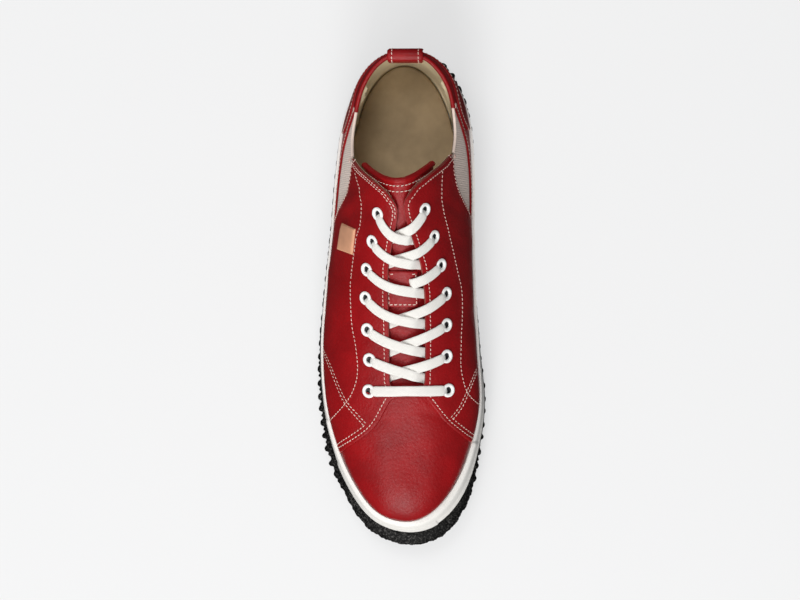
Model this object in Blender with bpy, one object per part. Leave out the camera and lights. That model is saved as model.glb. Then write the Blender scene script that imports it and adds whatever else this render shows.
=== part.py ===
"""A right-foot low leather sneaker with elastic side gores, laced through seven pairs of eyelets.

The shoe stands on its sole: toe towards -Y, heel towards +Y, medial side towards +X, +Z up.
Lengths below are in millimetres, and the meshes are scaled to metres as they are made.
"""

import math

import bmesh
import bpy
import numpy as np

MM = 0.001

# Driving dimensions
TO_CENTRE = (0.373, -0.8, 0.0)   # brings the origin below the middle of the shoe's box
FEATHER_MIDDLE_Y = 7.1      # middle of the feather line, where upper and sole meet
FEATHER_HALF_LENGTH = 138.6
MEDIAL_BACK = 2.4           # the medial facing and gore lie this much nearer the heel
WALL = 2.0                  # leather and lining together
GAP = 0.35                  # between pieces that meet
SWELL_SHAPE = 6.75          # scales up * (1 - up) ** 2 to a swell of 1 at its widest
FOXING_LIP = 1.5
FOXING_STEP = {"width": 0.55, "height": 0.65}   # the foxing's face part of the way up
LIP_BELOW_FEATHER = 0.4
RAND_RIM_THICK = 0.9        # the rolled edge of the outsole at its rim
RAND_SHOULDER = {"out": 1.4, "down": 1.2}
RAND_WIDEST = {"ground": 0.6, "top": 0.35}      # height of its widest line, from both its ends
INSOLE_THICK = 5.0
INSOLE_BEVEL = {"down": 1.2, "in": 1.4}
UPPER_STEPS = 8
UPPER_STEP_SHAPE = 0.85
OUTSOLE_THICK = 6.0
TONGUE_THICK = 3.0
EYELET_RADIUS = 4.1
EYELET_HOLE_RADIUS = 2.1
EYELET_BARREL_RADIUS = 2.6
EYELET_BARREL_LENGTH = 1.6
EYELET_FLANGE_THICK = 0.7
EYELET_SEAT = 0.6           # underside of the flange above the leather
LACE_WIDTH = 6.2
LACE_THICK = 1.2
LACE_STARTS = 0.9           # how far outside its eyelet's ring a strip begins
LACE_LIFT = {"over": 1.2, "under": 0.9}
LACE_SIDE = {"over": 1, "under": -1}            # the side each strip of a crossing runs to
TOOTH_COUNT = 72            # rounded lugs along the rolled edge of the outsole
TOOTH_HEIGHT = 3.0

# Sections of the last every 15 degrees round the feather line, from toe tip to heel back.
SECTION_STEP = 15.0
LAST = {
    "half_width": (0.0, 15.2, 27.8, 38.2, 45.3, 45.7, 43.5, 41.2, 39.8, 36.7, 28.8, 16.0, 0.0),
    "centre_x": (3.4, 2.3, 2.3, 1.8, 1.0, -0.9, -0.7, 0.8, 2.2, 3.2, 3.8, 4.0, 4.0),
    "feather_z": (32.0, 31.0, 29.5, 28.5, 28.0, 28.0, 28.8, 30.2, 31.8, 33.0, 34.0, 34.6, 34.8),
    "crown_x": (3.4, 3.4, 3.5, 3.8, 4.4, 5.0, 4.6, 2.6, 2.0, 2.6, 3.4, 4.0, 4.0),
    "crown_y": (-108.0, -104.5, -96.0, -82.0, -63.2, -29.5, 6.7, 42.9, 76.6, 101.0, 114.0, 120.0, 121.0),
    "crown_z": (51.0, 51.3, 52.4, 55.0, 59.5, 67.5, 79.0, 95.5, 110.0, 117.0, 120.0, 121.0, 121.0),
    "lean": (0.88, 0.88, 0.90, 0.95, 1.05, 1.20, 1.38, 1.66, 2.08, 2.40, 1.75, 1.12, 0.92),
    "bulge": (0.8, 0.8, 0.8, 0.6, 0.5, 0.6, 0.9, 1.3, 1.6, 2.2, 2.8, 2.4, 2.1),
}

# The sole at the same sections: distances out from the feather line, and heights.
SOLE = {
    "foxing_out": (7.3, 7.4, 6.7, 5.2, 3.4, 2.4, 2.1, 2.0, 2.0, 2.0, 2.0, 2.1, 2.2),
    "foxing_skew": (0.0, 1.0, 1.2, 0.5, 0.0, -0.4, -0.7, -0.7, -0.7, -0.4, 0.0, 0.0, 0.0),
    "rand_out": (16.6, 15.4, 12.0, 8.6, 4.9, 3.6, 2.9, 2.8, 2.8, 2.9, 3.3, 3.8, 4.0),
    "rand_skew": (0.0, 1.4, 1.0, -1.4, -1.5, -0.8, -0.8, -0.8, -0.8, -0.3, 0.6, 0.4, 0.0),
    "ground_in": (-1.0, 2.0, 2.0, 2.0, 0.6, 0.2, 0.0, 0.0, 0.2, 0.4, 0.8, 1.2, 1.2),
    "rand_top_z": (22.0, 21.0, 19.0, 16.5, 14.0, 12.5, 12.0, 12.5, 13.5, 15.5, 17.5, 19.5, 20.5),
    "ground_z": (10.0, 8.2, 4.4, 0.8, -0.8, -0.6, 1.2, 1.7, 0.0, -0.6, -0.5, 0.3, 1.2),
    "seat_z": (21.0, 20.0, 17.4, 15.6, 15.4, 16.4, 18.0, 19.8, 21.6, 22.8, 23.4, 23.6, 23.6),
    "insole_in": (3.0, 3.0, 3.0, 3.0, 3.0, 3.0, 3.0, 3.0, 3.2, 4.0, 6.4, 6.8, 5.2),
}

# Half the gap between the facings along the shoe, and the x of its middle.
THROAT_FRONT_Y = -56.0
THROAT_ROUND = 9.0
THROAT = {
    "y": (-52.0, 2.0, 18.6, 34.6, 46.0, 52.0, 56.0, 63.0, 70.0, 77.0, 84.3),
    "half_gap": (10.8, 11.2, 10.0, 6.0, 2.6, 1.8, 3.1, 8.6, 16.5, 24.5, 30.6),
}

# Columns of the upper: stations in degrees, and places along the shoe where the throat and collar turn.
UPPER_COLUMNS = {
    "toe": (8.0, 16.0, 24.0, 32.0, 40.0, 48.0, 55.0),
    "throat_y": (THROAT_FRONT_Y + 0.01, -54.5, -51.5, -47.0),
    "waist": (76.0, 84.0, 92.0, 99.0),
    "collar_y": (45.0, 51.0, 56.0, 62.0, 68.0, 75.0, 84.2, 91.0, 97.0),
    "heel": (140.0, 147.0, 154.0, 161.0, 168.0, 174.0),
}

# Height of the collar from the facing's corner round to the heel.
COLLAR = {
    "y": (84.3, 92.0, 101.0, 114.0, 130.0, 139.0, 145.7),
    "z": (67.5, 63.0, 61.5, 64.0, 71.0, 74.5, 76.0),
}

# The elastic gore seen from the side, from its front top corner down and round to the back.
GORE_OUTLINE = {
    "y": (86.0, 81.0, 75.0, 68.5, 62.5, 56.5, 51.0, 49.5, 64.0, 78.0, 89.0, 97.0, 105.0, 113.0, 119.0),
    "z": (80.0, 69.0, 67.5, 64.5, 59.0, 50.0, 39.0, 35.0, 35.6, 37.2, 40.5, 46.5, 54.5, 65.0, 80.0),
}

GORE_INSET = 0.3            # the elastic's two faces inside the leather's
GORE_BLOCK_X = (12.0, 70.0)  # from inside the opening to outside the shoe

# Eyelet rows from the ankle down to the toe.
EYELETS = {
    "lateral_y": (50.4, 34.6, 18.6, 2.0, -16.6, -34.2, -52.6),
    "lateral_x": (-10.9, -14.5, -18.2, -19.2, -18.4, -17.3, -17.9),
    "medial_y": (52.8, 37.4, 21.1, 4.5, -13.8, -32.2, -52.2),
    "medial_x": (15.8, 20.9, 24.7, 27.6, 27.6, 27.6, 28.6),
}

# How much of a row each lace strip drops on its way over, the lateral one on top.
LACE = {
    "over_drop": (1.0, 0.88, 0.88, 0.85, 0.80, 0.62),
    "under_drop": (1.1, 1.0, 0.96, 0.97, 0.92, 0.66),
}
LACE_SAG = {"over": 2.4, "under": 1.7}

# The side tag seen from above: x and y of its corners, and the heel patch's top edge.
TAG_CORNERS = ((-33.8, 46.2), (-24.6, 42.2), (-26.6, 27.4), (-36.4, 30.8))
HEEL_PATCH = {
    "y": (100.0, 104.0, 110.0, 117.0, 126.0, 136.0, 145.7),
    "top_z": (41.0, 48.0, 54.5, 58.5, 58.5, 56.0, 55.0),
}
HEEL_PATCH_THICK = 1.3
HEEL_PATCH_CLEAR = 2.0      # the tab stands out above the patch from this far over its edge
HEEL_PATCH_FOOT = 0.6       # above the feather line
HEEL_PATCH_GRID = {"rows": 4, "columns": 20}
TAG_LIFT = 0.45
TAG_THICK = 1.2
TAB_HALF_WIDTH = 10.4
TAB_THICK = 1.2
TAB_OUTER_LEG = 15.0
TAB_INNER_LEG = 11.0
TAB_INSIDE_RIM = 2.95       # clear of the collar's wall inside
TAB_CHAMFER = {"out": 0.8, "in": 1.0, "down": 1.5}

TONGUE = {
    "y": (-70.0, -60.0, -50.0, 6.7, 42.9, 60.0, 74.0),
    "half_width": (12.0, 16.5, 19.0, 22.0, 24.0, 25.5, 25.0),
    "drop": (3.0, 2.7, 2.5, 2.5, 2.6, 3.0, 3.6),
}
TONGUE_TOP_Y = 68.3
TONGUE_EAR = 13.0           # how much further back the tongue's top corners reach
TONGUE_ASIDE = 2.0          # how far its top is pulled towards the lateral side
TONGUE_EDGE_SHARE = 0.18    # the share of its half width over which each side thins out
TONGUE_EDGE_THIN = 0.45

COLOURS = {
    "leather_red": ((0.34, 0.012, 0.012), 0.42, 0.0),
    "elastic": ((0.62, 0.58, 0.53), 0.85, 0.0),
    "foxing_white": ((0.82, 0.80, 0.74), 0.55, 0.0),
    "rubber_black": ((0.012, 0.012, 0.012), 0.75, 0.0),
    "insole_tan": ((0.36, 0.26, 0.14), 0.8, 0.0),
    "lace_white": ((0.85, 0.82, 0.74), 0.85, 0.0),
    "eyelet_white": ((0.85, 0.86, 0.84), 0.35, 0.2),
    "tag_leather": ((0.68, 0.36, 0.17), 0.6, 0.0),
}


def clear_scene():
    for old in list(bpy.data.objects):
        bpy.data.objects.remove(old, do_unlink=True)


def material(name):
    """The named finish as a Principled material, made once."""
    found = bpy.data.materials.get(name)
    if found:
        return found
    colour, roughness, metallic = COLOURS[name]
    made = bpy.data.materials.new(name)
    made.use_nodes = True
    shader = made.node_tree.nodes["Principled BSDF"]
    shader.inputs["Base Color"].default_value = (*colour, 1.0)
    shader.inputs["Roughness"].default_value = roughness
    shader.inputs["Metallic"].default_value = metallic
    return made


def section_value(column, station, odd=False):
    """A column of section values at any station in degrees, smooth and mirrored past toe and heel."""
    sign = -1.0 if odd and station < 0 else 1.0
    position = abs(station) / SECTION_STEP
    last = len(column) - 1
    low = min(int(position), last - 1)
    t = position - low

    def row(index):
        mirrored = abs(index) if index <= last else 2 * last - index
        flip = -1.0 if odd and mirrored != index else 1.0
        return flip * column[mirrored]

    before, start, end, after = (row(low + k) for k in (-1, 0, 1, 2))
    slope_in, slope_out = (end - before) / 2, (after - start) / 2
    value = (
        (2 * t**3 - 3 * t**2 + 1) * start
        + (t**3 - 2 * t**2 + t) * slope_in
        + (3 * t**2 - 2 * t**3) * end
        + (t**3 - t**2) * slope_out
    )
    return sign * value


def along(table, name, y):
    return float(np.interp(y, table["y"], table[name]))


def feather_point(station):
    """Where upper and sole meet: station 0 is the toe and 180 the heel, negative laterally."""
    x = section_value(LAST["centre_x"], station) + section_value(LAST["half_width"], station, odd=True)
    y = FEATHER_MIDDLE_Y - FEATHER_HALF_LENGTH * math.cos(math.radians(station))
    return np.array((x, y, section_value(LAST["feather_z"], station)))


def crown_point(station):
    return np.array([section_value(LAST[name], station) for name in ("crown_x", "crown_y", "crown_z")])


def last_point(station, rise):
    """The outside of the upper. Rise is 0 degrees at the feather line and 90 on the crown."""
    foot, crown = feather_point(station), crown_point(station)
    up = max(math.sin(math.radians(rise)), 0.0) ** section_value(LAST["lean"], station)
    out = foot[:2] - crown[:2]
    swell = section_value(LAST["bulge"], station) * SWELL_SHAPE * up * (1 - up) ** 2
    plan = crown[:2] + out * (math.cos(math.radians(rise)) + swell / np.linalg.norm(out))
    return np.array((*plan, foot[2] + (crown[2] - foot[2]) * up))


def one_normal(station, rise):
    rise = min(max(rise, 2.0), 89.0)
    step = 0.4
    round_it = last_point(station + step, rise) - last_point(station - step, rise)
    up_it = last_point(station, rise + step) - last_point(station, rise - step)
    normal = np.cross(round_it, up_it)
    return normal / np.linalg.norm(normal)


def last_normal(station, rise):
    """Outward normal, shared by both sides where they meet on the crown."""
    normal = one_normal(station, rise)
    if rise > 88.9:
        normal = normal + one_normal(-station, rise)
        normal /= np.linalg.norm(normal)
    return normal


def upper_point(station, rise, inward=0.0):
    return last_point(station, rise) - inward * last_normal(station, rise)


def plan_normal(station):
    """Outward direction of the feather line, seen from above."""
    step = 0.5
    tangent = feather_point(station + step) - feather_point(station - step)
    normal = np.array((tangent[1], -tangent[0], 0.0))
    return normal / np.linalg.norm(normal)


def back_of(station):
    """How far what is cut at the ankle lies back on this side, none at all at the heel's middle."""
    return MEDIAL_BACK * min(1.0, (180.0 - station) / 30.0) if station > 0 else 0.0


def half_gap(y, station):
    """Half the throat's width, with a round end at the toe side."""
    if y <= THROAT_FRONT_Y:
        return 0.0
    short = max(0.0, 1 - (y - THROAT_FRONT_Y) / THROAT_ROUND)
    return along(THROAT, "half_gap", y - back_of(station)) * math.sqrt(1 - short**2)


def rise_where(station, reached):
    """The smallest rise at which reached(point) is true."""
    low, high = 0.0, 90.0
    for _ in range(30):
        middle = (low + high) / 2
        if reached(last_point(station, middle)):
            high = middle
        else:
            low = middle
    return high


def top_rise(station):
    """Where the upper ends on this section: on the crown, at a facing's edge or at the collar."""
    crown = crown_point(station)
    foot_y = feather_point(station)[1] - back_of(station)
    if crown[1] <= THROAT_FRONT_Y:
        return 90.0
    if foot_y < COLLAR["y"][0]:
        gap = half_gap(crown[1], station)
        return rise_where(station, lambda point: abs(point[0] - crown[0]) <= gap)
    return rise_where(station, lambda point: point[2] >= along(COLLAR, "z", foot_y))


def rise_at_x(station, x):
    crown = crown_point(station)
    return rise_where(station, lambda point: abs(point[0] - crown[0]) <= abs(x - crown[0]))


def station_at_y(y, side):
    """The station whose section lies at this y, on the side given by the sign."""
    ratio = (FEATHER_MIDDLE_Y - y) / FEATHER_HALF_LENGTH
    return math.copysign(math.degrees(math.acos(max(-1.0, min(1.0, ratio)))), side)


def surface_at(x, y, inward=0.0):
    """Point and outward normal of the upper over this place on the instep."""
    crown_x = section_value(LAST["crown_x"], station_at_y(y, 1))
    station = station_at_y(y, 1 if x > crown_x else -1)
    rise = rise_at_x(station, x)
    return upper_point(station, rise, inward), last_normal(station, rise)


def new_object(name, points, faces, finish, smooth=True):
    """A mesh object in metres from points in millimetres, welded and facing out."""
    mesh = bpy.data.meshes.new(name)
    mesh.from_pydata([tuple((point + TO_CENTRE) * MM) for point in points], [], faces)
    work = bmesh.new()
    work.from_mesh(mesh)
    bmesh.ops.remove_doubles(work, verts=work.verts, dist=0.002 * MM)
    bmesh.ops.dissolve_degenerate(work, dist=0.001 * MM, edges=work.edges)
    bmesh.ops.triangulate(work, faces=work.faces)
    bmesh.ops.recalc_face_normals(work, faces=work.faces)
    work.to_mesh(mesh)
    work.free()
    if smooth:
        mesh.shade_smooth()
        mesh.set_sharp_from_angle(angle=math.radians(40))
    made = bpy.data.objects.new(name, mesh)
    made.data.materials.append(material(finish))
    bpy.context.scene.collection.objects.link(made)
    return made


def apply_boolean(target, other, operation):
    modifier = target.modifiers.new(other.name, "BOOLEAN")
    modifier.operation = operation
    modifier.object = other
    modifier.solver = "EXACT"
    bpy.context.view_layer.update()
    evaluated = target.evaluated_get(bpy.context.evaluated_depsgraph_get())
    result = bpy.data.meshes.new_from_object(evaluated)
    target.modifiers.clear()
    target.data = result
    bpy.data.objects.remove(other, do_unlink=True)


def ring_stations():
    """Stations of one closed ring: lateral heel, toe, medial heel."""
    half = list(np.linspace(0.0, 180.0, TOOTH_COUNT + 1))
    return [-station for station in half[::-1]] + half[1:-1]


def ring(stations, point_of):
    return [point_of(station) for station in stations]


def ring_walls(rings, count):
    """Quads between each ring and the next."""
    faces = []
    for level in range(len(rings) - 1):
        for k in range(count):
            here, there = level * count + k, level * count + (k + 1) % count
            faces.append((here, there, there + count, here + count))
    return faces


def ring_cap(first, count):
    """Strips across one ring, from each lateral point to its medial twin."""
    faces = []
    half = count // 2
    for k in range(half):
        left, left_next = first + k, first + k + 1
        right, right_next = first + (count - k) % count, first + (count - k - 1) % count
        corners = []
        for corner in (left, left_next, right_next, right):
            if corner not in corners:
                corners.append(corner)
        faces.append(tuple(corners))
    return faces


def sole_solid(name, rings, finish):
    """A closed body of rings from its bottom face up, round the rim and down to its top face."""
    count = len(rings[0])
    points = [point for one in rings for point in one]
    faces = ring_walls(rings, count)
    faces += ring_cap(0, count)
    faces += ring_cap((len(rings) - 1) * count, count)
    return new_object(name, points, faces, finish)


def sole_point(station, out, height):
    place = feather_point(station) + out * plan_normal(station)
    return np.array((place[0], place[1], height))


def tooth_wave(station):
    """1 on a lug of the rolled edge and -1 between two lugs."""
    return math.cos(math.radians(abs(station)) * TOOTH_COUNT)


def foxing_width(station, share):
    """How far out the foxing stands: share 0 at its lip and 1 where the outsole covers it."""
    lip = FOXING_LIP + GAP
    full = section_value(SOLE["foxing_out"], station) + section_value(SOLE["foxing_skew"], station, odd=True)
    return lip + (full - lip) * share


def ground_height(station):
    """The tread's height, flat on the floor at forefoot and heel."""
    return max(0.0, section_value(SOLE["ground_z"], station))


def make_outsole(stations):
    def value(name, station):
        return section_value(SOLE[name], station)

    def rand_out(station):
        return value("rand_out", station) + section_value(SOLE["rand_skew"], station, odd=True)

    def rand_top(station):
        return value("rand_top_z", station) + TOOTH_HEIGHT * (tooth_wave(station) - 1) / 2

    def ground(station):
        return sole_point(station, value("ground_in", station), ground_height(station))

    def widest(station):
        low, high = ground_height(station), value("rand_top_z", station)
        return sole_point(station, rand_out(station), low * RAND_WIDEST["ground"] + high * RAND_WIDEST["top"])

    def shoulder(station):
        out = (rand_out(station) + foxing_width(station, 1) + RAND_SHOULDER["out"]) / 2
        return sole_point(station, out, rand_top(station) - RAND_SHOULDER["down"])

    def rim_outside(station):
        return sole_point(station, foxing_width(station, 1) + RAND_RIM_THICK, rand_top(station))

    def rim_inside(station):
        return sole_point(station, foxing_width(station, 1) + GAP, rand_top(station))

    def tray_edge(station):
        return sole_point(station, foxing_width(station, 1) + GAP, ground_height(station) + OUTSOLE_THICK)

    points_of = (ground, widest, shoulder, rim_outside, rim_inside, tray_edge)
    return sole_solid("outsole", [ring(stations, f) for f in points_of], "rubber_black")


def make_midsole(stations):
    def under(station):
        height = ground_height(station) + OUTSOLE_THICK + GAP
        return sole_point(station, foxing_width(station, 1), height)

    def face(station):
        return sole_point(station, foxing_width(station, 1), section_value(SOLE["rand_top_z"], station))

    def upper_face(station):
        low, high = section_value(SOLE["rand_top_z"], station), feather_point(station)[2]
        height = low + (high - low) * FOXING_STEP["height"]
        return sole_point(station, foxing_width(station, FOXING_STEP["width"]), height)

    def lip_outside(station):
        return sole_point(station, foxing_width(station, 0.0), feather_point(station)[2] - LIP_BELOW_FEATHER)

    def lip_inside(station):
        return sole_point(station, GAP, feather_point(station)[2] - LIP_BELOW_FEATHER)

    def seat(station):
        return sole_point(station, GAP, section_value(SOLE["seat_z"], station))

    points_of = (under, face, upper_face, lip_outside, lip_inside, seat)
    return sole_solid("midsole", [ring(stations, f) for f in points_of], "foxing_white")


def make_insole(stations):
    def level(lift, inset):
        def point_of(station):
            out = -section_value(SOLE["insole_in"], station) - inset
            return sole_point(station, out, section_value(SOLE["seat_z"], station) + lift)

        return point_of

    side_top = level(INSOLE_THICK - INSOLE_BEVEL["down"], 0.0)
    points_of = (level(GAP, 0.0), side_top, level(INSOLE_THICK, INSOLE_BEVEL["in"]))
    return sole_solid("insole", [ring(stations, f) for f in points_of], "insole_tan")


def upper_stations():
    """Ring stations for the upper, closer together at the throat and the collar's corners."""
    halves = []
    for side in (-1, 1):
        back = back_of(side)
        half = list(UPPER_COLUMNS["toe"])
        half += [abs(station_at_y(y, side)) for y in UPPER_COLUMNS["throat_y"]]
        half += UPPER_COLUMNS["waist"]
        half += [abs(station_at_y(y + back, side)) for y in UPPER_COLUMNS["collar_y"]]
        half += UPPER_COLUMNS["heel"]
        halves.append(half)
    lateral, medial = halves
    return [-180.0] + [-station for station in lateral[::-1]] + [0.0] + medial


def upper_shell(name, wall_outside, wall_inside, finish):
    """The hollow upper between two depths: a closed ring of columns from its tuck to its top."""
    stations = upper_stations()
    rows = []
    for depth in (wall_outside, wall_inside):
        for level in range(-1, UPPER_STEPS + 1):
            row = []
            for station in stations:
                if level < 0:
                    bottom = section_value(SOLE["seat_z"], station) + GAP
                    row.append(sole_point(station, -depth, bottom))
                else:
                    share = (level / UPPER_STEPS) ** UPPER_STEP_SHAPE
                    row.append(upper_point(station, top_rise(station) * share, depth))
            rows.append(row)
    outside, inside = rows[: UPPER_STEPS + 2], rows[UPPER_STEPS + 2 :]
    rings = outside + inside[::-1]
    count = len(stations)
    points = [point for one in rings for point in one]
    faces = ring_walls(rings, count)
    last_ring = (len(rings) - 1) * count
    faces += [(k, last_ring + k, last_ring + (k + 1) % count, (k + 1) % count) for k in range(count)]
    closed = [k for k, station in enumerate(stations) if top_rise(station) > 89.99]
    outer_top, inner_top = (UPPER_STEPS + 1) * count, (UPPER_STEPS + 2) * count
    drop = {(outer_top + k, outer_top + k + 1, inner_top + k + 1, inner_top + k) for k in closed[:-1]}
    faces = [face for face in faces if face not in drop]
    return new_object(name, points, faces, finish)


def gore_prism(name, side, shrink):
    """A block whose outline is the gore seen from the side, drawn in by shrink."""
    outline = np.column_stack((GORE_OUTLINE["y"], GORE_OUTLINE["z"]))
    count = len(outline)
    moved = []
    for k in range(count):
        tangent = outline[(k + 1) % count] - outline[k - 1]
        inward = np.array((-tangent[1], tangent[0])) / np.linalg.norm(tangent)
        moved.append(outline[k] + shrink * inward + np.array((back_of(side), 0.0)))
    points = [np.array((x * side, y, z)) for x in GORE_BLOCK_X for y, z in moved]
    faces = [tuple(range(count)), tuple(range(count, 2 * count))]
    faces += [(k, (k + 1) % count, count + (k + 1) % count, count + k) for k in range(count)]
    return new_object(name, points, faces, "elastic", smooth=False)


def turned(name, profile, centre, axis, finish, sides=12):
    """A body turned about an axis through centre, from (radius, height) pairs that form a closed outline."""
    axis = axis / np.linalg.norm(axis)
    across = np.cross(axis, (0.0, 1.0, 0.0))
    across /= np.linalg.norm(across)
    other = np.cross(axis, across)
    count = len(profile)
    points = []
    for k in range(sides):
        turn = 2 * math.pi * k / sides
        outward = math.cos(turn) * across + math.sin(turn) * other
        points += [centre + radius * outward + height * axis for radius, height in profile]
    faces = []
    for k in range(sides):
        here, there = k * count, ((k + 1) % sides) * count
        for m in range(count):
            n = (m + 1) % count
            faces.append((here + m, here + n, there + n, there + m))
    return new_object(name, points, faces, finish)


def eyelet_places():
    """(name, x, y) of each eyelet, row 1 at the ankle."""
    places = []
    for side in ("lateral", "medial"):
        for row, (x, y) in enumerate(zip(EYELETS[f"{side}_x"], EYELETS[f"{side}_y"])):
            places.append((f"eyelet_{side}_{row + 1}", x, y))
    return places


def punch_hole(upper, place, normal):
    """Cuts one eyelet hole through the facing."""
    reach = WALL * 2
    radius = EYELET_BARREL_RADIUS + GAP
    profile = ((0.01, -reach), (0.01, reach), (radius, reach), (radius, -reach))
    cutter = turned("hole_cutter", profile, place, normal, "eyelet_white", sides=10)
    work = bmesh.new()
    work.from_mesh(cutter.data)
    bmesh.ops.remove_doubles(work, verts=work.verts, dist=0.05 * MM)
    bmesh.ops.dissolve_degenerate(work, dist=0.01 * MM, edges=work.edges)
    bmesh.ops.recalc_face_normals(work, faces=work.faces)
    work.to_mesh(cutter.data)
    work.free()
    apply_boolean(upper, cutter, "DIFFERENCE")


def make_eyelet(name, place, normal):
    """A rolled ring: a flange on the facing and a short barrel into its hole."""
    seat = EYELET_SEAT
    top = seat + EYELET_FLANGE_THICK
    profile = (
        (EYELET_HOLE_RADIUS, seat - EYELET_BARREL_LENGTH),
        (EYELET_HOLE_RADIUS, top - 0.2),
        (EYELET_HOLE_RADIUS + 0.7, top),
        (EYELET_RADIUS - 0.6, top - 0.15),
        (EYELET_RADIUS, seat),
        (EYELET_BARREL_RADIUS, seat),
        (EYELET_BARREL_RADIUS, seat - EYELET_BARREL_LENGTH),
    )
    return turned(name, profile, place, normal, "eyelet_white")


def make_tongue():
    """A padded strip under the facings, its top edge dipping in the middle."""
    lengths = np.linspace(0.0, 1.0, 15)
    across = np.linspace(-1.0, 1.0, 11)
    layers = []
    for thick in (0.0, TONGUE_THICK):
        layer = []
        for step in lengths:
            row = []
            for share in across:
                y = TONGUE["y"][0] + (TONGUE_TOP_Y - TONGUE["y"][0]) * step + TONGUE_EAR * step**2 * share**2
                middle = section_value(LAST["crown_x"], station_at_y(y, 1)) - TONGUE_ASIDE * step**6
                edge = min(1.0, (1 - abs(share)) / TONGUE_EDGE_SHARE)
                inward = along(TONGUE, "drop", y) + thick * (TONGUE_EDGE_THIN + (1 - TONGUE_EDGE_THIN) * edge)
                row.append(surface_at(middle + share * along(TONGUE, "half_width", y), y, inward)[0])
            layer.append(row)
        layers.append(layer)
    return skin("tongue", layers, "leather_red")


def lace_strip(name, path, lift, steps):
    """A flat strip of lace whose middle follows path(share) in plan, this far above the upper."""
    points = []
    for k in range(steps + 1):
        share = k / steps
        run = path(min(share + 0.02, 1.0)) - path(max(share - 0.02, 0.0))
        run /= np.linalg.norm(run)
        for across in (-LACE_WIDTH / 2, LACE_WIDTH / 2):
            x, y = path(share) + across * np.array((-run[1], run[0]))
            for height in (lift, lift + LACE_THICK):
                points.append(surface_at(x, y, -height)[0])
    faces = [(0, 1, 3, 2), tuple(4 * steps + k for k in (0, 1, 3, 2))]
    for k in range(steps):
        here, there = 4 * k, 4 * (k + 1)
        for m, n in ((0, 1), (1, 3), (3, 2), (2, 0)):
            faces.append((here + m, here + n, there + n, there + m))
    return new_object(name, points, faces, "lace_white")


def lace_path(start, end, sag):
    """From an eyelet to the far edge of the throat, dropping most at the eyelet."""

    def path(share):
        fall = 1 - (1 - share) ** sag
        return np.array((start[0] + (end[0] - start[0]) * share, start[1] + (end[1] - start[1]) * fall))

    begin = EYELET_RADIUS + LACE_STARTS
    first = next(k / 100 for k in range(100) if np.linalg.norm(path(k / 100) - path(0.0)) > begin)
    return lambda share: path(first + (1 - first) * share)


def make_laces():
    """A straight bar on the last row and a crossing below each other pair of eyelets."""
    lateral = list(zip(EYELETS["lateral_x"], EYELETS["lateral_y"]))
    medial = list(zip(EYELETS["medial_x"], EYELETS["medial_y"]))
    bar_end = np.array(medial[-1]) - np.array((EYELET_RADIUS + LACE_STARTS, 0.0))
    lace_strip("lace_bar", lace_path(lateral[-1], bar_end, 1.0), LACE_LIFT["under"], 6)
    for row in range(len(lateral) - 1):
        spacing = lateral[row][1] - lateral[row + 1][1]
        strips = []
        for kind, eyelets in (("over", lateral), ("under", medial)):
            start, far = eyelets[row], LACE_SIDE[kind]
            end_y = start[1] - LACE[f"{kind}_drop"][row] * spacing
            crown_x = section_value(LAST["crown_x"], station_at_y(end_y, 1))
            reach = max(half_gap(end_y, far) - 0.5, 1.0)
            path = lace_path(start, (crown_x + far * reach, end_y), LACE_SAG[kind])
            strips.append(lace_strip(f"lace_cross_{row + 1}", path, LACE_LIFT[kind], 7))
        apply_boolean(strips[0], strips[1], "UNION")
        strips[0].name = f"lace_cross_{row + 1}"


def rim_at(station):
    """Top outside edge of the upper on this section."""
    return last_point(station, top_rise(station))


def make_pull_tab():
    """A flat strip of leather folded over the collar at the heel, straight across."""
    back = rim_at(180.0)
    corner = heel_rim_y(TAB_HALF_WIDTH)
    outer = back[1] + 2 * GAP
    inner = corner - TAB_INSIDE_RIM
    over = back[2] + GAP
    drops = np.linspace(TAB_OUTER_LEG, 1.0, 6)
    outside = [(outer + heel_swell(back, drop), back[2] - drop) for drop in drops]
    outside += [(outer - TAB_CHAMFER["out"], over), (inner + TAB_CHAMFER["in"], over)]
    outside += [(inner, over - TAB_CHAMFER["down"]), (inner, back[2] - TAB_INNER_LEG)]
    outline = np.array(outside)
    slope = np.gradient(outline, axis=0)
    outward = np.column_stack((slope[:, 1], -slope[:, 0])) / np.linalg.norm(slope, axis=1)[:, None]
    loop = list(outline) + list((outline + TAB_THICK * outward)[::-1])
    points = [np.array((back[0] + x, y, z)) for x in (-TAB_HALF_WIDTH, TAB_HALF_WIDTH) for y, z in loop]
    count = len(loop)
    faces = [(k, (k + 1) % count, count + (k + 1) % count, count + k) for k in range(count)]
    for first in (0, count):
        for k in range(count // 2 - 1):
            a, b = first + k, first + count - 1 - k
            faces.append((a, a + 1, b - 1, b))
    return new_object("pull_tab", points, faces, "leather_red")


def heel_rim_y(out):
    """How far back the collar's outside edge lies this far to the side of the heel's middle."""
    back = rim_at(180.0)
    low, high = 150.0, 180.0
    for _ in range(30):
        middle = (low + high) / 2
        if rim_at(middle)[0] - back[0] > out:
            low = middle
        else:
            high = middle
    return rim_at(high)[1]


def heel_swell(back, drop):
    """How far the heel stands out behind its rim this far below it, heel patch included."""
    rise = rise_where(180.0, lambda point: point[2] >= back[2] - drop)
    reaches_patch = back[2] - drop < HEEL_PATCH["top_z"][-1] + HEEL_PATCH_CLEAR
    patch = HEEL_PATCH_THICK + 2 * GAP if reaches_patch else 0.0
    return max(0.0, last_point(180.0, rise)[1] - back[1] + patch)


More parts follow.
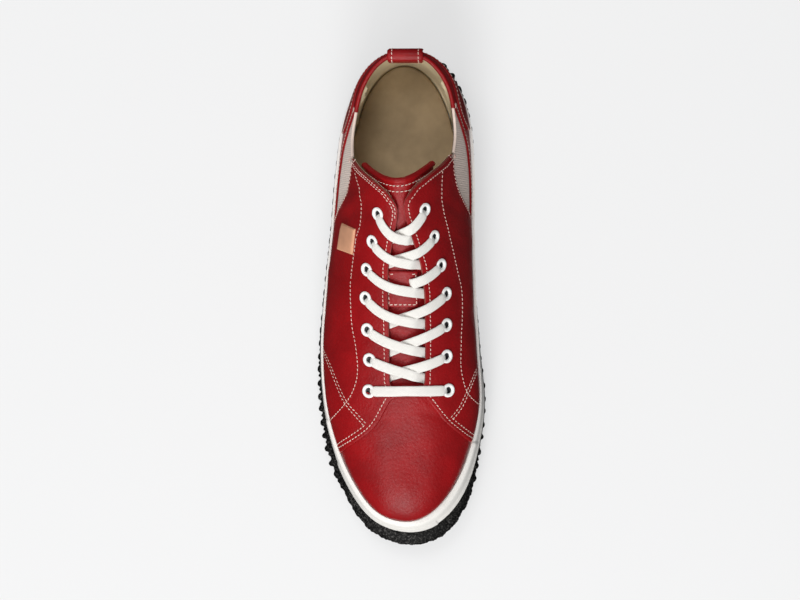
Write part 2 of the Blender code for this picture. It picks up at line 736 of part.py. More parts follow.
def make_heel_patch():
    """The counter's leather patch, a raised skin round the heel between two depths of the upper."""
    y_first = HEEL_PATCH["y"][0]
    first = [station_at_y(y_first + back_of(side), side) for side in (-1, 1)]
    start, end = first[0], first[1]
    sweep = (180 - abs(start)) + (180 - end)
    rows, columns = HEEL_PATCH_GRID["rows"], HEEL_PATCH_GRID["columns"]
    layers = []
    for depth in (-GAP, -GAP - HEEL_PATCH_THICK):
        layer = []
        for k in range(columns + 1):
            angle = abs(start) + sweep * k / columns
            station = -angle if angle < 180 else 360 - angle
            y = feather_point(station)[1] - back_of(station)
            top_z = along(HEEL_PATCH, "top_z", y)
            foot_z = feather_point(station)[2] + HEEL_PATCH_FOOT
            low = rise_where(station, lambda point: point[2] >= foot_z)
            high = rise_where(station, lambda point: point[2] >= top_z)
            rises = np.linspace(low, high, rows + 1)
            layer.append([upper_point(station, rise, depth) for rise in rises])
        layers.append(layer)
    return skin("heel_counter", layers, "leather_red")


def make_tag():
    """The blank leather tag on the lateral side."""
    corners = [np.array(corner) for corner in TAG_CORNERS]
    front, back = corners[2:], corners[:2]
    layers = []
    for depth in (-TAG_LIFT, -TAG_LIFT - TAG_THICK):
        layer = []
        for u in np.linspace(0, 1, 5):
            outer = back[0] + (front[1] - back[0]) * u
            inner = back[1] + (front[0] - back[1]) * u
            row = []
            for v in np.linspace(0, 1, 4):
                x, y = outer + (inner - outer) * v
                row.append(surface_at(x, y, depth)[0])
            layer.append(row)
        layers.append(layer)
    return skin("tag", layers, "tag_leather")


def skin(name, layers, finish):
    """A closed sheet from two layers of the same grid of points."""
    rows, columns = len(layers[0]), len(layers[0][0])
    points = [point for layer in layers for row in layer for point in row]

    def index(layer, row, column):
        return (layer * rows + row) * columns + column

    faces = []
    for row in range(rows - 1):
        for column in range(columns - 1):
            for layer in (0, 1):
                around = ((0, 0), (0, 1), (1, 1), (1, 0))
                faces.append(tuple(index(layer, row + a, column + b) for a, b in around))
    for column in range(columns - 1):
        for row in (0, rows - 1):
            near, far = index(0, row, column), index(1, row, column)
            faces.append((near, near + 1, far + 1, far))
    for row in range(rows - 1):
        for column in (0, columns - 1):
            near, far = index(0, row, column), index(1, row, column)
            faces.append((near, near + columns, far + columns, far))
    return new_object(name, points, faces, finish)


def build():
    clear_scene()
    stations = ring_stations()
    make_outsole(stations)
    make_midsole(stations[::2])
    make_insole(stations[::4])
    upper = upper_shell("upper", 0.0, WALL, "leather_red")
    for side, label in ((-1, "lateral"), (1, "medial")):
        gore = upper_shell(f"gore_{label}", GORE_INSET, WALL - GORE_INSET, "elastic")
        apply_boolean(gore, gore_prism("gore_block", side, GAP), "INTERSECT")
        apply_boolean(upper, gore_prism("gore_cutter", side, 0.0), "DIFFERENCE")
    for name, x, y in eyelet_places():
        place, normal = surface_at(x, y)
        punch_hole(upper, place, normal)
        make_eyelet(name, place, normal)
    make_tongue()
    make_laces()
    make_heel_patch()
    make_pull_tab()
    make_tag()


build()
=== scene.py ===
"""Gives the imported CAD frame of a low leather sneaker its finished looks.

The shoe stands on its sole: toe towards -Y, heel towards +Y, medial side towards +X, +Z up.
Lengths in the tables below are millimetres, and meshes are scaled to metres as they are made.
"""

import itertools
import math
from collections import namedtuple

import bmesh
import bpy
import numpy as np
from bpy.props import FloatProperty, FloatVectorProperty, PointerProperty
from mathutils import Matrix, Vector, noise


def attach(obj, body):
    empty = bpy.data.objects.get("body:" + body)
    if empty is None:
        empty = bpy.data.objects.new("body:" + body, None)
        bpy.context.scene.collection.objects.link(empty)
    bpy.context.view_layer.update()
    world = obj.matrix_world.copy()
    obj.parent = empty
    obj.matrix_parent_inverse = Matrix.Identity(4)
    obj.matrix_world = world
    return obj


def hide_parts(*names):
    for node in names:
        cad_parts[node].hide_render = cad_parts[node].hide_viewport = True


bl_info = {
    "name": "Leather Sneaker",
    "version": (1, 0, 0),
    "blender": (4, 5, 0),
    "location": "View3D > Sidebar > Sneaker",
    "description": "Builds a low leather sneaker's panels, laces, sole and stage over its CAD frame",
    "category": "Add Mesh",
}

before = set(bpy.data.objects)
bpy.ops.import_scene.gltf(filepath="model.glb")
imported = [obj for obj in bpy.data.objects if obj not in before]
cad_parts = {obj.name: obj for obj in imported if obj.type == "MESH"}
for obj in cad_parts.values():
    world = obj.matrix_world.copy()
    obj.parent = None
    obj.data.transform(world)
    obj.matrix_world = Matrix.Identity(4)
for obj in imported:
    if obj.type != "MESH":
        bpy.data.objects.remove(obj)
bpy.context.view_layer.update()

MM = 0.001
TO_CENTRE = np.array((0.373, -0.8, 0.0))   # from the tables' origin to the frame's, below mid-shoe
FEATHER_MIDDLE_Y = 7.1      # middle of the feather line, where upper and sole meet
FEATHER_HALF_LENGTH = 138.6
MEDIAL_BACK = 2.4           # the medial facing and gore lie this much nearer the heel
SWELL_SHAPE = 6.75          # brings the side's swelling, up * (1 - up)^2, to a peak of 1
CROWN_SOFT = 0.3            # rounds the vamp over from one side to the other, without a ridge
CROWN_SOFT_FROM = 100.0     # the station where that rounding starts, and the degrees in which it grows full
CROWN_SOFT_OVER = 40.0
PROBE = 0.4                 # degrees to each side when the surface's slope is measured
SLOPE_RISES = (2.0, 89.0)   # slopes are measured between these rises
SHARED_FROM = 80.0          # above this rise both sides lean towards one normal
HALVINGS = 26               # steps of the searches for a rise, for a place in plan and for one from the side
PLAN_HALVINGS = 30
SIDE_PASSES = 5
FOXING_LIP = 1.85           # how far the foxing's lip stands out from the feather line
EYELET_RADIUS = 4.1
EYELET_HOLE = 2.1

# Sections of the last every 15 degrees round the feather line, from toe tip to heel back.
SECTION_STEP = 15.0
LAST = {
    "half_width": (0.0, 15.2, 27.8, 38.2, 45.3, 45.7, 43.5, 41.2, 39.8, 36.7, 28.8, 16.0, 0.0),
    "centre_x": (3.4, 2.3, 2.3, 1.8, 1.0, -0.9, -0.7, 0.8, 2.2, 3.2, 3.8, 4.0, 4.0),
    "feather_z": (32.0, 31.0, 29.5, 28.5, 28.0, 28.0, 28.8, 30.2, 31.8, 33.0, 34.0, 34.6, 34.8),
    "crown_x": (3.4, 3.4, 3.5, 3.8, 4.4, 5.0, 4.6, 2.6, 2.0, 2.6, 3.4, 4.0, 4.0),
    "crown_y": (-108.0, -104.5, -96.0, -82.0, -63.2, -29.5, 6.7, 42.9, 76.6, 101.0, 114.0, 120.0, 121.0),
    "crown_z": (51.0, 51.3, 52.4, 55.0, 59.5, 67.5, 79.0, 95.5, 110.0, 117.0, 120.0, 121.0, 121.0),
    "lean": (0.88, 0.88, 0.90, 0.95, 1.05, 1.20, 1.38, 1.66, 2.08, 2.40, 1.75, 1.12, 0.92),
    "bulge": (0.8, 0.8, 0.8, 0.6, 0.5, 0.6, 0.9, 1.3, 1.6, 2.2, 2.8, 2.4, 2.1),
}

# The sole at the same sections: distances out from the feather line, and heights.
SOLE = {
    "foxing_out": (7.3, 7.4, 6.7, 5.2, 3.4, 2.4, 2.1, 2.0, 2.0, 2.0, 2.0, 2.1, 2.2),
    "foxing_skew": (0.0, 1.0, 1.2, 0.5, 0.0, -0.4, -0.7, -0.7, -0.7, -0.4, 0.0, 0.0, 0.0),
    "rand_out": (16.6, 15.4, 12.0, 8.6, 4.9, 3.6, 2.9, 2.8, 2.8, 2.9, 3.3, 3.8, 4.0),
    "rand_skew": (0.0, 1.4, 1.0, -1.4, -1.5, -0.8, -0.8, -0.8, -0.8, -0.3, 0.6, 0.4, 0.0),
    "ground_in": (-1.0, 2.0, 2.0, 2.0, 0.6, 0.2, 0.0, 0.0, 0.2, 0.4, 0.8, 1.2, 1.2),
    "rand_top_z": (22.0, 21.0, 19.0, 16.5, 14.0, 12.5, 12.0, 12.5, 13.5, 15.5, 17.5, 19.5, 20.5),
    "ground_z": (10.0, 8.2, 4.4, 0.8, -0.8, -0.6, 1.2, 1.7, 0.0, -0.6, -0.5, 0.3, 1.2),
    "seat_z": (21.0, 20.0, 17.4, 15.6, 15.4, 16.4, 18.0, 19.8, 21.6, 22.8, 23.4, 23.6, 23.6),
    "insole_in": (3.0, 3.0, 3.0, 3.0, 3.0, 3.0, 3.0, 3.0, 3.2, 4.0, 6.4, 6.8, 5.2),
}

# The foxing's face from its foot up to its lip: share of its height and share of its full width.
FOXING_FACE = {
    "up": (0.0, 0.24, 0.60, 0.72, 0.88, 0.97, 1.0),
    "out": (1.0, 1.0, 0.56, 0.44, 0.24, 0.08, -0.3),
}
FOXING_FOOT = 5.0           # how far the foxing goes down behind the outsole's edge
# The foxing's ribs as shares of its height, their depth in millimetres; the mesh is finer within reach.
FOXING_RIBS = {"at": (0.33, 0.44, 0.55), "half_width": 0.018, "reach": 0.03, "depth": 0.55}
# The two strips on the foxing round the toe: where they end on each side, how far they stand out,
# and the share of the foxing's height where one stops and the other starts.
TOE_STRIP = {"lateral_y": -71.0, "medial_y": -84.0, "proud": 0.55, "lift": 0.8}
TOE_BUMPER = {"lateral_y": -96.0, "medial_y": -127.0, "proud": 0.6}
TOE_STRIP_FOOT = 0.60

# Parts of the sole as stations where each starts and the degrees in which it fades in; a part's end
# is a second pair, whose fade runs back towards the toe. All but the last hold for both sides.
SOLE_PARTS = {
    "toe": ((44.0, -14.0),),
    "heel": ((150.0, 14.0),),
    "waist": ((66.0, 12.0), (146.0, -12.0)),
    "medial waist": ((66.0, 10.0), (156.0, -8.0)),
}
HEEL_BUMP = {"station": 167.0, "half_width": 7.0}       # where the medial edge stands out instead

# The outsole's rolled edge: how far each part goes up, out and with its lugs, from the ground to its top.
ROLLED_EDGE = {
    "up": (0.0, 0.12, 0.35, 0.62, 0.85, 0.97, 1.0),
    "out": (0.86, 0.97, 1.0, 0.95, 0.62, 0.22, 0.0),
    "lug": (0.3, 0.9, 1.0, 1.0, 0.95, 0.5, 0.0),
}
EDGE_GAP = 0.3              # from the foxing's face to the edge, and the least it comes to
EDGE_GAP_LEAST = 0.25
EDGE_CREST = 0.3            # how far below the edge's nominal top its crest lies
EDGE_TUCK = 1.1             # how far the medial waist is drawn in
LUG_LOSS = {"toe": 0.9, "heel": -0.15, "waist": 0.7}    # share of the lugs' height that each part loses
LUG_MIDDLE = 0.45           # the height of a lug that lies on the edge's plain outline
LUG_WAIST_LIFT = 0.32
LUG_TOP = {"lift": 0.9, "middle": 0.5, "toe_loss": 0.6}     # how the lugs wave the edge's upper line
LUG_GROOVE = 2.0            # how much deeper the gaps between lugs go below the foxing
GROOVE_TOP = 5.6            # how far below the edge's top they start, and the height in which they grow full
GROOVE_OVER = 1.4
GROOVE_MOST = 2.6
GROOVE_TOE_LOSS = 0.8
# Lugs and the half lugs between them: how far they stray as a share of the pitch, their share of the
# full height, their half width and how square they are. Where there are two values, the dice choose.
LUG = {"stray": 0.09, "height": (0.85, 1.0), "half_width": (1.55, 2.15), "square": 3.4}
HALF_LUG = {"stray": 0.05, "height": (0.15, 0.6), "half_width": 1.0, "square": 2.6}
# Lumps in the edge's rubber: their share, size and place in the noise. EDGE_ROUGH is their strength,
# with what the toe and heel add.
EDGE_LUMPS = ((0.7, 3.4, 0.0), (0.5, 1.5, 5.0))
EDGE_ROUGH = {"plain": 0.22, "toe": 0.9, "heel": 0.35}
TREAD_DEPTH = 1.6
TREAD_RIM = ((6.0, TREAD_DEPTH), (5.6, 0.0))    # the rim round the tread: how far in and how high
TREAD = {
    "y": (-112.0, 134.0), "row": 6.4, "pitch": 11.0, "bar": 8.2, "deep": 3.4, "margin": 9.0, "least": 4.0,
    "sunk": 0.4,
}

# The footbed's cut edge: how far in and how far above the seat.
FOOTBED_EDGE = ((0.0, 0.3), (0.0, 3.8), (0.5, 4.7), (1.6, 5.0))

THROAT_FRONT_Y = -55.0
THROAT_ROUND = 9.0
THROAT = {
    "y": (-52.0, 2.0, 18.6, 34.6, 46.0, 52.0, 56.0, 63.0, 70.0, 77.0, 84.3),
    "half_gap": (10.8, 11.2, 10.0, 6.0, 2.6, 1.8, 3.1, 8.6, 16.5, 24.5, 30.6),
}
COLLAR = {
    "y": (84.3, 92.0, 101.0, 114.0, 130.0, 139.0, 145.7),
    "z": (67.5, 63.0, 61.5, 64.0, 71.0, 74.5, 76.0),
}
COLLAR_BLUR = (-4.0, -2.0, 0.0, 2.0, 4.0)      # places that are averaged to round the collar's line
GORE_REAR_Y = 112.0         # where the gore's binding ends and the collar's band starts
GORE_OUTLINE = {
    "y": (86.0, 81.0, 75.0, 68.5, 62.5, 56.5, 51.0, 49.5, 64.0, 78.0, 89.0, 97.0, 105.0, 113.0, 119.0),
    "z": (80.0, 69.0, 67.5, 64.5, 59.0, 50.0, 39.0, 35.0, 35.6, 37.2, 40.5, 46.5, 54.5, 65.0, 80.0),
}
EYELETS = {
    "lateral_y": (50.4, 34.6, 18.6, 2.0, -16.6, -34.2, -52.6),
    "lateral_x": (-10.9, -14.5, -18.2, -19.2, -18.4, -17.3, -17.9),
    "medial_y": (52.8, 37.4, 21.1, 4.5, -13.8, -32.2, -52.2),
    "medial_x": (15.8, 20.9, 24.7, 27.6, 27.6, 27.6, 28.6),
}
LACE_DROP = {
    "over": (1.0, 0.88, 0.88, 0.85, 0.80, 0.62),
    "under": (1.1, 1.0, 0.96, 0.97, 0.92, 0.66),
}
# How much of the drop comes in a quick bend at the eyelet; the rest is a straight slant.
LACE_BEND = {
    "over": (0.82, 0.72, 0.62, 0.6, 0.36, 0.16),
    "under": (0.46, 0.46, 0.42, 0.34, 0.16, 0.16),
}
LACE_HEIGHT = 1.0           # a lace's middle above the leather beside its eyelet
# How far it has come down at the throat's far edge, and how late it does so.
LACE_FALL = {"depth": 3.9, "over": 2.4, "under": 0.9}
LACE_COVER = {"within": 3.4, "fade": 2.5, "gap": 0.1}       # how the upper strip rides over the lower one
LACE_LEAVE = {"length": 4.5, "dive": 3.2, "pinch": 0.28}    # how a strip comes out of its eyelet
LACE_PLAY = {"lift": 0.12, "tilt": 0.1}
# Where the third medial strip goes in under the tongue's patch.
LACE_KEEPER = {"row": 2, "x": 7.4, "over": 1.2, "drop": 5.0}
TAG_CORNERS = ((-33.8, 46.2), (-24.6, 42.2), (-26.6, 27.4), (-36.4, 30.8))
HEEL_PATCH = {
    "first_station": 125.0, "medial_shift": 0.9, "proud": 1.1, "sunk": 0.1, "row": 2.0,
    "y": (100.0, 104.0, 110.0, 117.0, 126.0, 136.0, 145.7),
    "top_z": (41.0, 48.0, 54.5, 58.5, 58.5, 56.0, 55.0),
}
TONGUE = {
    "y": (-70.0, -60.0, -50.0, 6.7, 42.9, 60.0, 74.0),
    "half_width": (12.0, 16.5, 19.0, 22.0, 24.0, 25.5, 25.0),
    "drop": (3.0, 2.7, 2.5, 2.5, 2.6, 3.0, 3.6),
}
TONGUE_TOP_Y = 68.3
TONGUE_EAR = 13.0           # how much farther back the top's corners reach
TONGUE_ASIDE = 2.0          # how far the top leans to the lateral side
TONGUE_DEPTH = 2.0          # its middle below its face, and half its thickness
TONGUE_HALF_THICK = 1.6
TONGUE_ROUND_FROM = 0.975   # the share of its length where it starts to round over at the top
TONGUE_RIM = {"reach": 0.99, "below_top": 1.2, "depth": 1.9}
TONGUE_RIM_SIZE = (3.6, 4.2)
TONGUE_ROW = {"reach": 0.93, "depth": 0.35}
TONGUE_ROWS = (3.6, 6.8)    # how far below the tongue's top its two rows of stitches run
TONGUE_FACE = -2.9          # the tongue's face below the last's surface between the facings
TONGUE_PATCH = {"x": (-7.5, 12.5), "y": (-4.2, 16.8), "thick": 1.1, "margin_x": 1.5, "margin_y": (1.8, 1.6)}
TONGUE_TACKS = (4.0, 3.0)   # lengths of the two short rows at the patch's top corners
TAG_THICK = 1.3
PLATE_RIM = 0.25            # share of a plate's thickness that is left on its rounded edge
TAB = {
    "half_width": 10.4, "thick": 1.3, "row_x": 7.75, "drops": (15.0, 12.0, 9.0, 6.0, 3.0), "round_from": 0.93,
}

# The footbed's rounded heel end: its middle, half width and half length, where it takes over from
# the plain outline, and how far in it may lie.
FOOTBED_HEEL = {
    "x": 1.8, "y": 78.5, "half_width": 31.2, "half_length": 62.5,
    "from": 5.0, "over": 20.0, "inset": (2.0, 14.0),
}

# Folds in the lining: side, upper and lower end as (y, z), half width, and how far they sink or rise.
LINING_FOLDS = (
    (-1, (131.0, 66.0), (112.0, 36.0), 1.6, 1.5),
    (-1, (126.5, 66.0), (107.5, 37.0), 1.4, -2.3),
    (-1, (121.0, 60.0), (106.0, 44.0), 1.6, -1.3),
    (1, (134.0, 66.0), (115.0, 36.0), 1.6, 1.5),
    (1, (129.5, 66.0), (110.5, 37.0), 1.4, -2.3),
    (1, (124.0, 62.0), (108.0, 46.0), 1.6, -1.2),
)

# Seam lines seen from above, each from the throat or ankle outwards.
SEAMS = {
    "vamp_lateral": ((-3.0, -54.0), (-7.9, -57.1), (-18.8, -75.1), (-36.8, -87.4), (-44.0, -92.0)),
    "vamp_medial": ((16.0, -53.0), (19.6, -57.5), (30.2, -71.3), (43.1, -82.1), (51.0, -88.0)),
    "stay_lateral": (
        (-25.0, 75.3), (-21.1, 59.4), (-21.7, 45.0), (-24.5, 36.2), (-27.9, 14.2), (-28.3, 5.6),
        (-27.8, -12.9), (-25.4, -27.7), (-24.5, -39.1), (-25.8, -48.1), (-31.0, -58.8), (-42.2, -71.3),
    ),
    "stay_medial": (
        (25.7, 76.1), (25.3, 63.1), (26.8, 49.3), (31.0, 31.9), (34.0, 17.5), (36.1, 7.8),
        (36.7, -5.4), (35.9, -27.9), (35.9, -39.1), (38.0, -49.7), (40.9, -55.9), (46.5, -61.9),
    ),
    "cross_lateral": ((-20.3, -73.3), (-32.5, -58.8), (-41.0, -40.2), (-46.3, -29.5)),
    "cross_medial": ((30.5, -69.5), (36.1, -61.7), (41.7, -49.1), (45.0, -40.9)),
}

# Soft ridges and troughs of the worn-in leather, seen from above: where each starts and ends,
# its half width, and how far it lifts the leather.
CREASES = (
    (3.5, -112.0, 4.5, -72.0, 7.0, -0.22),
    (-12.0, -122.0, -10.0, -78.0, 7.0, 0.35),
    (19.0, -118.0, 20.0, -84.0, 6.0, 0.25),
    (-24.0, -66.0, -10.0, -70.0, 2.2, -0.30),
    (-27.0, -72.0, -12.0, -78.0, 2.6, 0.22),
    (16.0, -66.0, 28.0, -70.0, 2.4, -0.25),
    (-31.0, -22.0, -40.0, -10.0, 3.5, -0.40),
    (-33.0, 6.0, -42.0, 16.0, 4.0, 0.35),
    (38.0, -20.0, 44.0, -6.0, 3.5, -0.35),
    (-26.5, 52.0, -33.0, 47.0, 2.6, -0.60),
    (-24.0, 60.0, -33.0, 55.0, 2.8, 0.45),
    (-23.0, 66.0, -31.0, 64.0, 2.4, -0.40),
    (27.0, 58.0, 36.0, 52.0, 3.0, -0.45),
    (28.0, 44.0, 38.0, 38.0, 3.6, 0.35),
    (-22.0, -28.0, -15.0, -24.0, 2.4, 0.25),
    (27.0, -22.0, 35.0, -24.0, 2.6, 0.22),
)


# The last's surface ------------


def unit(vectors):
    return vectors / np.linalg.norm(vectors, axis=-1, keepdims=True)


def fade(values, start, over):
    """0 before the start and 1 after it by over, which is negative where the fade runs backwards."""
    return np.clip((values - start) / over, 0.0, 1.0)


def section(column, station, odd=False):
    """Section values at any stations in degrees, smooth and mirrored past toe and heel."""
    station = np.asarray(station, float)
    mirror = -1.0 if odd else 1.0
    values = np.array(column, float)
    values = np.concatenate((mirror * values[1:2], values, mirror * values[-2:-1]))
    place = np.abs(station) / SECTION_STEP
    low = np.minimum(place.astype(int), len(column) - 2)
    t = place - low
    before, start, end, after = (values[low + k] for k in range(4))
    value = (
        (2 * t**3 - 3 * t**2 + 1) * start
        + (t**3 - 2 * t**2 + t) * (end - before) / 2
        + (3 * t**2 - 2 * t**3) * end
        + (t**3 - t**2) * (after - start) / 2
    )
    return np.where(station < 0, -value, value) if odd else value


def along(table, name, y):
    return np.interp(y, table["y"], table[name])


def feather(station):
    """Where upper and sole meet. Station runs from 0 at the toe to 180 at the heel, negative laterally."""
    x = section(LAST["centre_x"], station) + section(LAST["half_width"], station, odd=True)
    y = FEATHER_MIDDLE_Y - FEATHER_HALF_LENGTH * np.cos(np.radians(station))
    return np.stack((x, y, section(LAST["feather_z"], station)), axis=-1)


def crown(station):
    return np.stack([section(LAST[name], station) for name in ("crown_x", "crown_y", "crown_z")], axis=-1)


def last(station, rise):
    """The outside of the upper. Rise is 0 degrees at the feather line and 90 on the crown."""
    station, rise = np.broadcast_arrays(np.asarray(station, float), np.asarray(rise, float))
    foot, top = feather(station), crown(station)
    up = np.maximum(np.sin(np.radians(rise)), 0.0) ** section(LAST["lean"], station)
    out = foot[..., :2] - top[..., :2]
    swell = section(LAST["bulge"], station) * SWELL_SHAPE * up * (1 - up) ** 2
    spread = np.cos(np.radians(rise)) + swell / np.linalg.norm(out, axis=-1)
    fore = fade(np.abs(station), CROWN_SOFT_FROM, -CROWN_SOFT_OVER)
    soft = (np.sqrt(spread**2 + CROWN_SOFT**2) - CROWN_SOFT) / (math.sqrt(1.0 + CROWN_SOFT**2) - CROWN_SOFT)
    ahead = spread + (soft - spread) * fore
    plan = top[..., :2] + out * np.stack((spread, ahead), axis=-1)
    height = foot[..., 2] + (top[..., 2] - foot[..., 2]) * up
    return np.concatenate((plan, height[..., None]), axis=-1)


def normal(station, rise):
    """Outward normal, shared by both sides where they meet on the crown."""
    station, rise = np.broadcast_arrays(np.asarray(station, float), np.clip(rise, *SLOPE_RISES))

    def one(station):
        round_it = last(station + PROBE, rise) - last(station - PROBE, rise)
        up_it = last(station, rise + PROBE) - last(station, rise - PROBE)
        return unit(np.cross(round_it, up_it))

    here = one(station)
    shared = 0.5 * fade(rise, SHARED_FROM, SLOPE_RISES[1] - SHARED_FROM)[..., None]
    return unit(here * (1 - shared) + one(-station) * shared)


def back_of(station):
    """How far what is cut at the ankle lies back on this side, none at all at the heel's middle."""
    station = np.asarray(station, float)
    return np.where(station > 0, MEDIAL_BACK * np.minimum(1.0, (180.0 - station) / 30.0), 0.0)


def half_gap(y, station):
    """Half the throat's width, with a round end at the toe side."""
    short = np.clip(1 - (y - THROAT_FRONT_Y) / THROAT_ROUND, 0.0, 1.0)
    gap = along(THROAT, "half_gap", y - back_of(station)) * np.sqrt(1 - short**2)
    return np.where(y <= THROAT_FRONT_Y, 0.0, gap)


def rise_where(station, reached):
    """The smallest rise on each section at which reached(points) is true."""
    station = np.asarray(station, float)
    low, high = np.zeros(station.shape), np.full(station.shape, 90.0)
    for _ in range(HALVINGS):
        middle = (low + high) / 2
        hit = reached(last(station, middle))
        low, high = np.where(hit, low, middle), np.where(hit, middle, high)
    return high


def rise_at_height(station, z):
    return rise_where(station, lambda points: points[..., 2] >= z)


def collar_height(y):
    return sum(along(COLLAR, "z", np.asarray(y, float) + shift) for shift in COLLAR_BLUR) / len(COLLAR_BLUR)


def top_rise(station):
    """Where the upper ends on each section: on the crown, at a facing's edge or at the collar."""
    station = np.asarray(station, float)
    top = crown(station)
    foot_y = feather(station)[..., 1] - back_of(station)
    gap = half_gap(top[..., 1], station)
    facing = rise_where(station, lambda points: np.abs(points[..., 0] - top[..., 0]) <= gap)
    collar = rise_at_height(station, collar_height(foot_y))
    ends = np.where(foot_y < COLLAR["y"][0], facing, collar)
    return np.where(top[..., 1] <= THROAT_FRONT_Y, 90.0, ends)


def station_at_y(y, side):
    """The station whose foot lies at this y, on the side given by the sign."""
    ratio = np.clip((FEATHER_MIDDLE_Y - np.asarray(y, float)) / FEATHER_HALF_LENGTH, -1.0, 1.0)
    return np.degrees(np.arccos(ratio)) * side


def place_on_top(x, y):
    """Station and rise of the upper's surface straight below or above a place in plan."""
    x, y = np.broadcast_arrays(np.asarray(x, float), np.asarray(y, float))
    middle = np.interp(y, LAST["crown_y"], LAST["crown_x"])
    side = np.where(x > middle, 1.0, -1.0)
    low, high = np.zeros(x.shape), np.full(x.shape, 180.0)
    for _ in range(PLAN_HALVINGS):
        guess = (low + high) / 2
        start = crown(guess * side)
        run = feather(guess * side) - start
        past = side * ((x - start[..., 0]) * run[..., 1] - (y - start[..., 1]) * run[..., 0]) > 0
        low, high = np.where(past, low, guess), np.where(past, guess, high)
    station = high * side
    start, foot = crown(station), feather(station)
    run = foot - start
    length = np.hypot(run[..., 0], run[..., 1])
    reach = ((x - start[..., 0]) * run[..., 0] + (y - start[..., 1]) * run[..., 1]) / length

    def reached(points):
        return np.hypot(points[..., 0] - start[..., 0], points[..., 1] - start[..., 1]) <= reach

    return station, rise_where(station, reached)


def place_on_side(y, z, side):
    """Station and rise of the surface at this place seen from the side."""
    y, z = np.asarray(y, float), np.asarray(z, float)
    station = station_at_y(y, side)
    for _ in range(SIDE_PASSES):
        rise = rise_at_height(station, z)
        miss = y - last(station, rise)[..., 1]
        slant = np.maximum(np.sin(np.radians(np.abs(station))), 0.2)
        per_degree = FEATHER_HALF_LENGTH * math.radians(1.0) * slant
        station = side * np.clip(np.abs(station) + miss / per_degree, 0.0, 180.0)
    return station, rise_at_height(station, z)


def crease_lift(points):
    """How far the leather's soft ridges and troughs lift or sink it at these points."""
    total = np.zeros(points.shape[:-1])
    for x0, y0, x1, y1, wide, high in CREASES:
        run = np.array((x1 - x0, y1 - y0))
        offset = points[..., :2] - (x0, y0)
        length = np.linalg.norm(run)
        along_it = (offset @ run) / length
        past_end = np.maximum(np.maximum(-along_it, along_it - length), 0.0)
        across = offset @ np.array((-run[1], run[0])) / length
        total += high * np.exp(-((across / wide) ** 2) - (past_end / (2.0 * wide)) ** 2)
    return total


def skin(station, rise, lift=0.0):
    """Points this far above the last's surface, creases included."""
    base = last(station, rise)
    return base + normal(station, rise) * (np.asarray(lift) + crease_lift(base))[..., None]


# Mesh tools ------------

SHARP_ANGLE = math.radians(50)
WELD = 0.01                 # points nearer than this are one
NEAR_LEVEL = 0.02           # points nearer than this to a cut are moved off it


def add_to_scene(name, data):
    made = bpy.data.objects.new(name, data)
    bpy.context.scene.collection.objects.link(made)
    return made


def finish_mesh(name, points, faces, material, slot, replaces=(), weld=0.0):
    """A smooth piece in metres from points in millimetres, riding on the shoe."""
    mesh = bpy.data.meshes.new(name)
    places = ((np.asarray(points) + TO_CENTRE) * MM).tolist()
    mesh.from_pydata(places, [], [tuple(map(int, face)) for face in faces])
    if weld:
        work = bmesh.new()
        work.from_mesh(mesh)
        bmesh.ops.remove_doubles(work, verts=work.verts, dist=weld * MM)
        work.to_mesh(mesh)
        work.free()
    mesh.validate()
    mesh.shade_smooth()
    mesh.set_sharp_from_angle(angle=SHARP_ANGLE)
    mesh.materials.append(bpy.data.materials[material])
    piece = add_to_scene(name, mesh)
    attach(piece, "root")
    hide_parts(*replaces)
    return piece


def join(parts):
    """Several (points, faces) as one."""
    points, faces, first = [], [], 0
    for some_points, some_faces in parts:
        points.append(some_points)
        faces += [tuple(int(k) + first for k in face) for face in some_faces]
        first += len(some_points)
    return np.concatenate(points), faces


def finish_parts(name, parts, material, slot, replaces=()):
    """One piece from several (points, faces)."""
    return finish_mesh(name, *join(parts), material, slot, replaces)


def grid_faces(rows, columns, close_rows=False, close_columns=False):
    """Quads between the points of a grid, numbered row by row."""
    row, column = np.meshgrid(np.arange(rows if close_rows else rows - 1),
                              np.arange(columns if close_columns else columns - 1), indexing="ij")
    row, column = row.ravel(), column.ravel()
    row_next, column_next = (row + 1) % rows, (column + 1) % columns
    return np.stack((row * columns + column, row * columns + column_next,
                     row_next * columns + column_next, row_next * columns + column), axis=1)


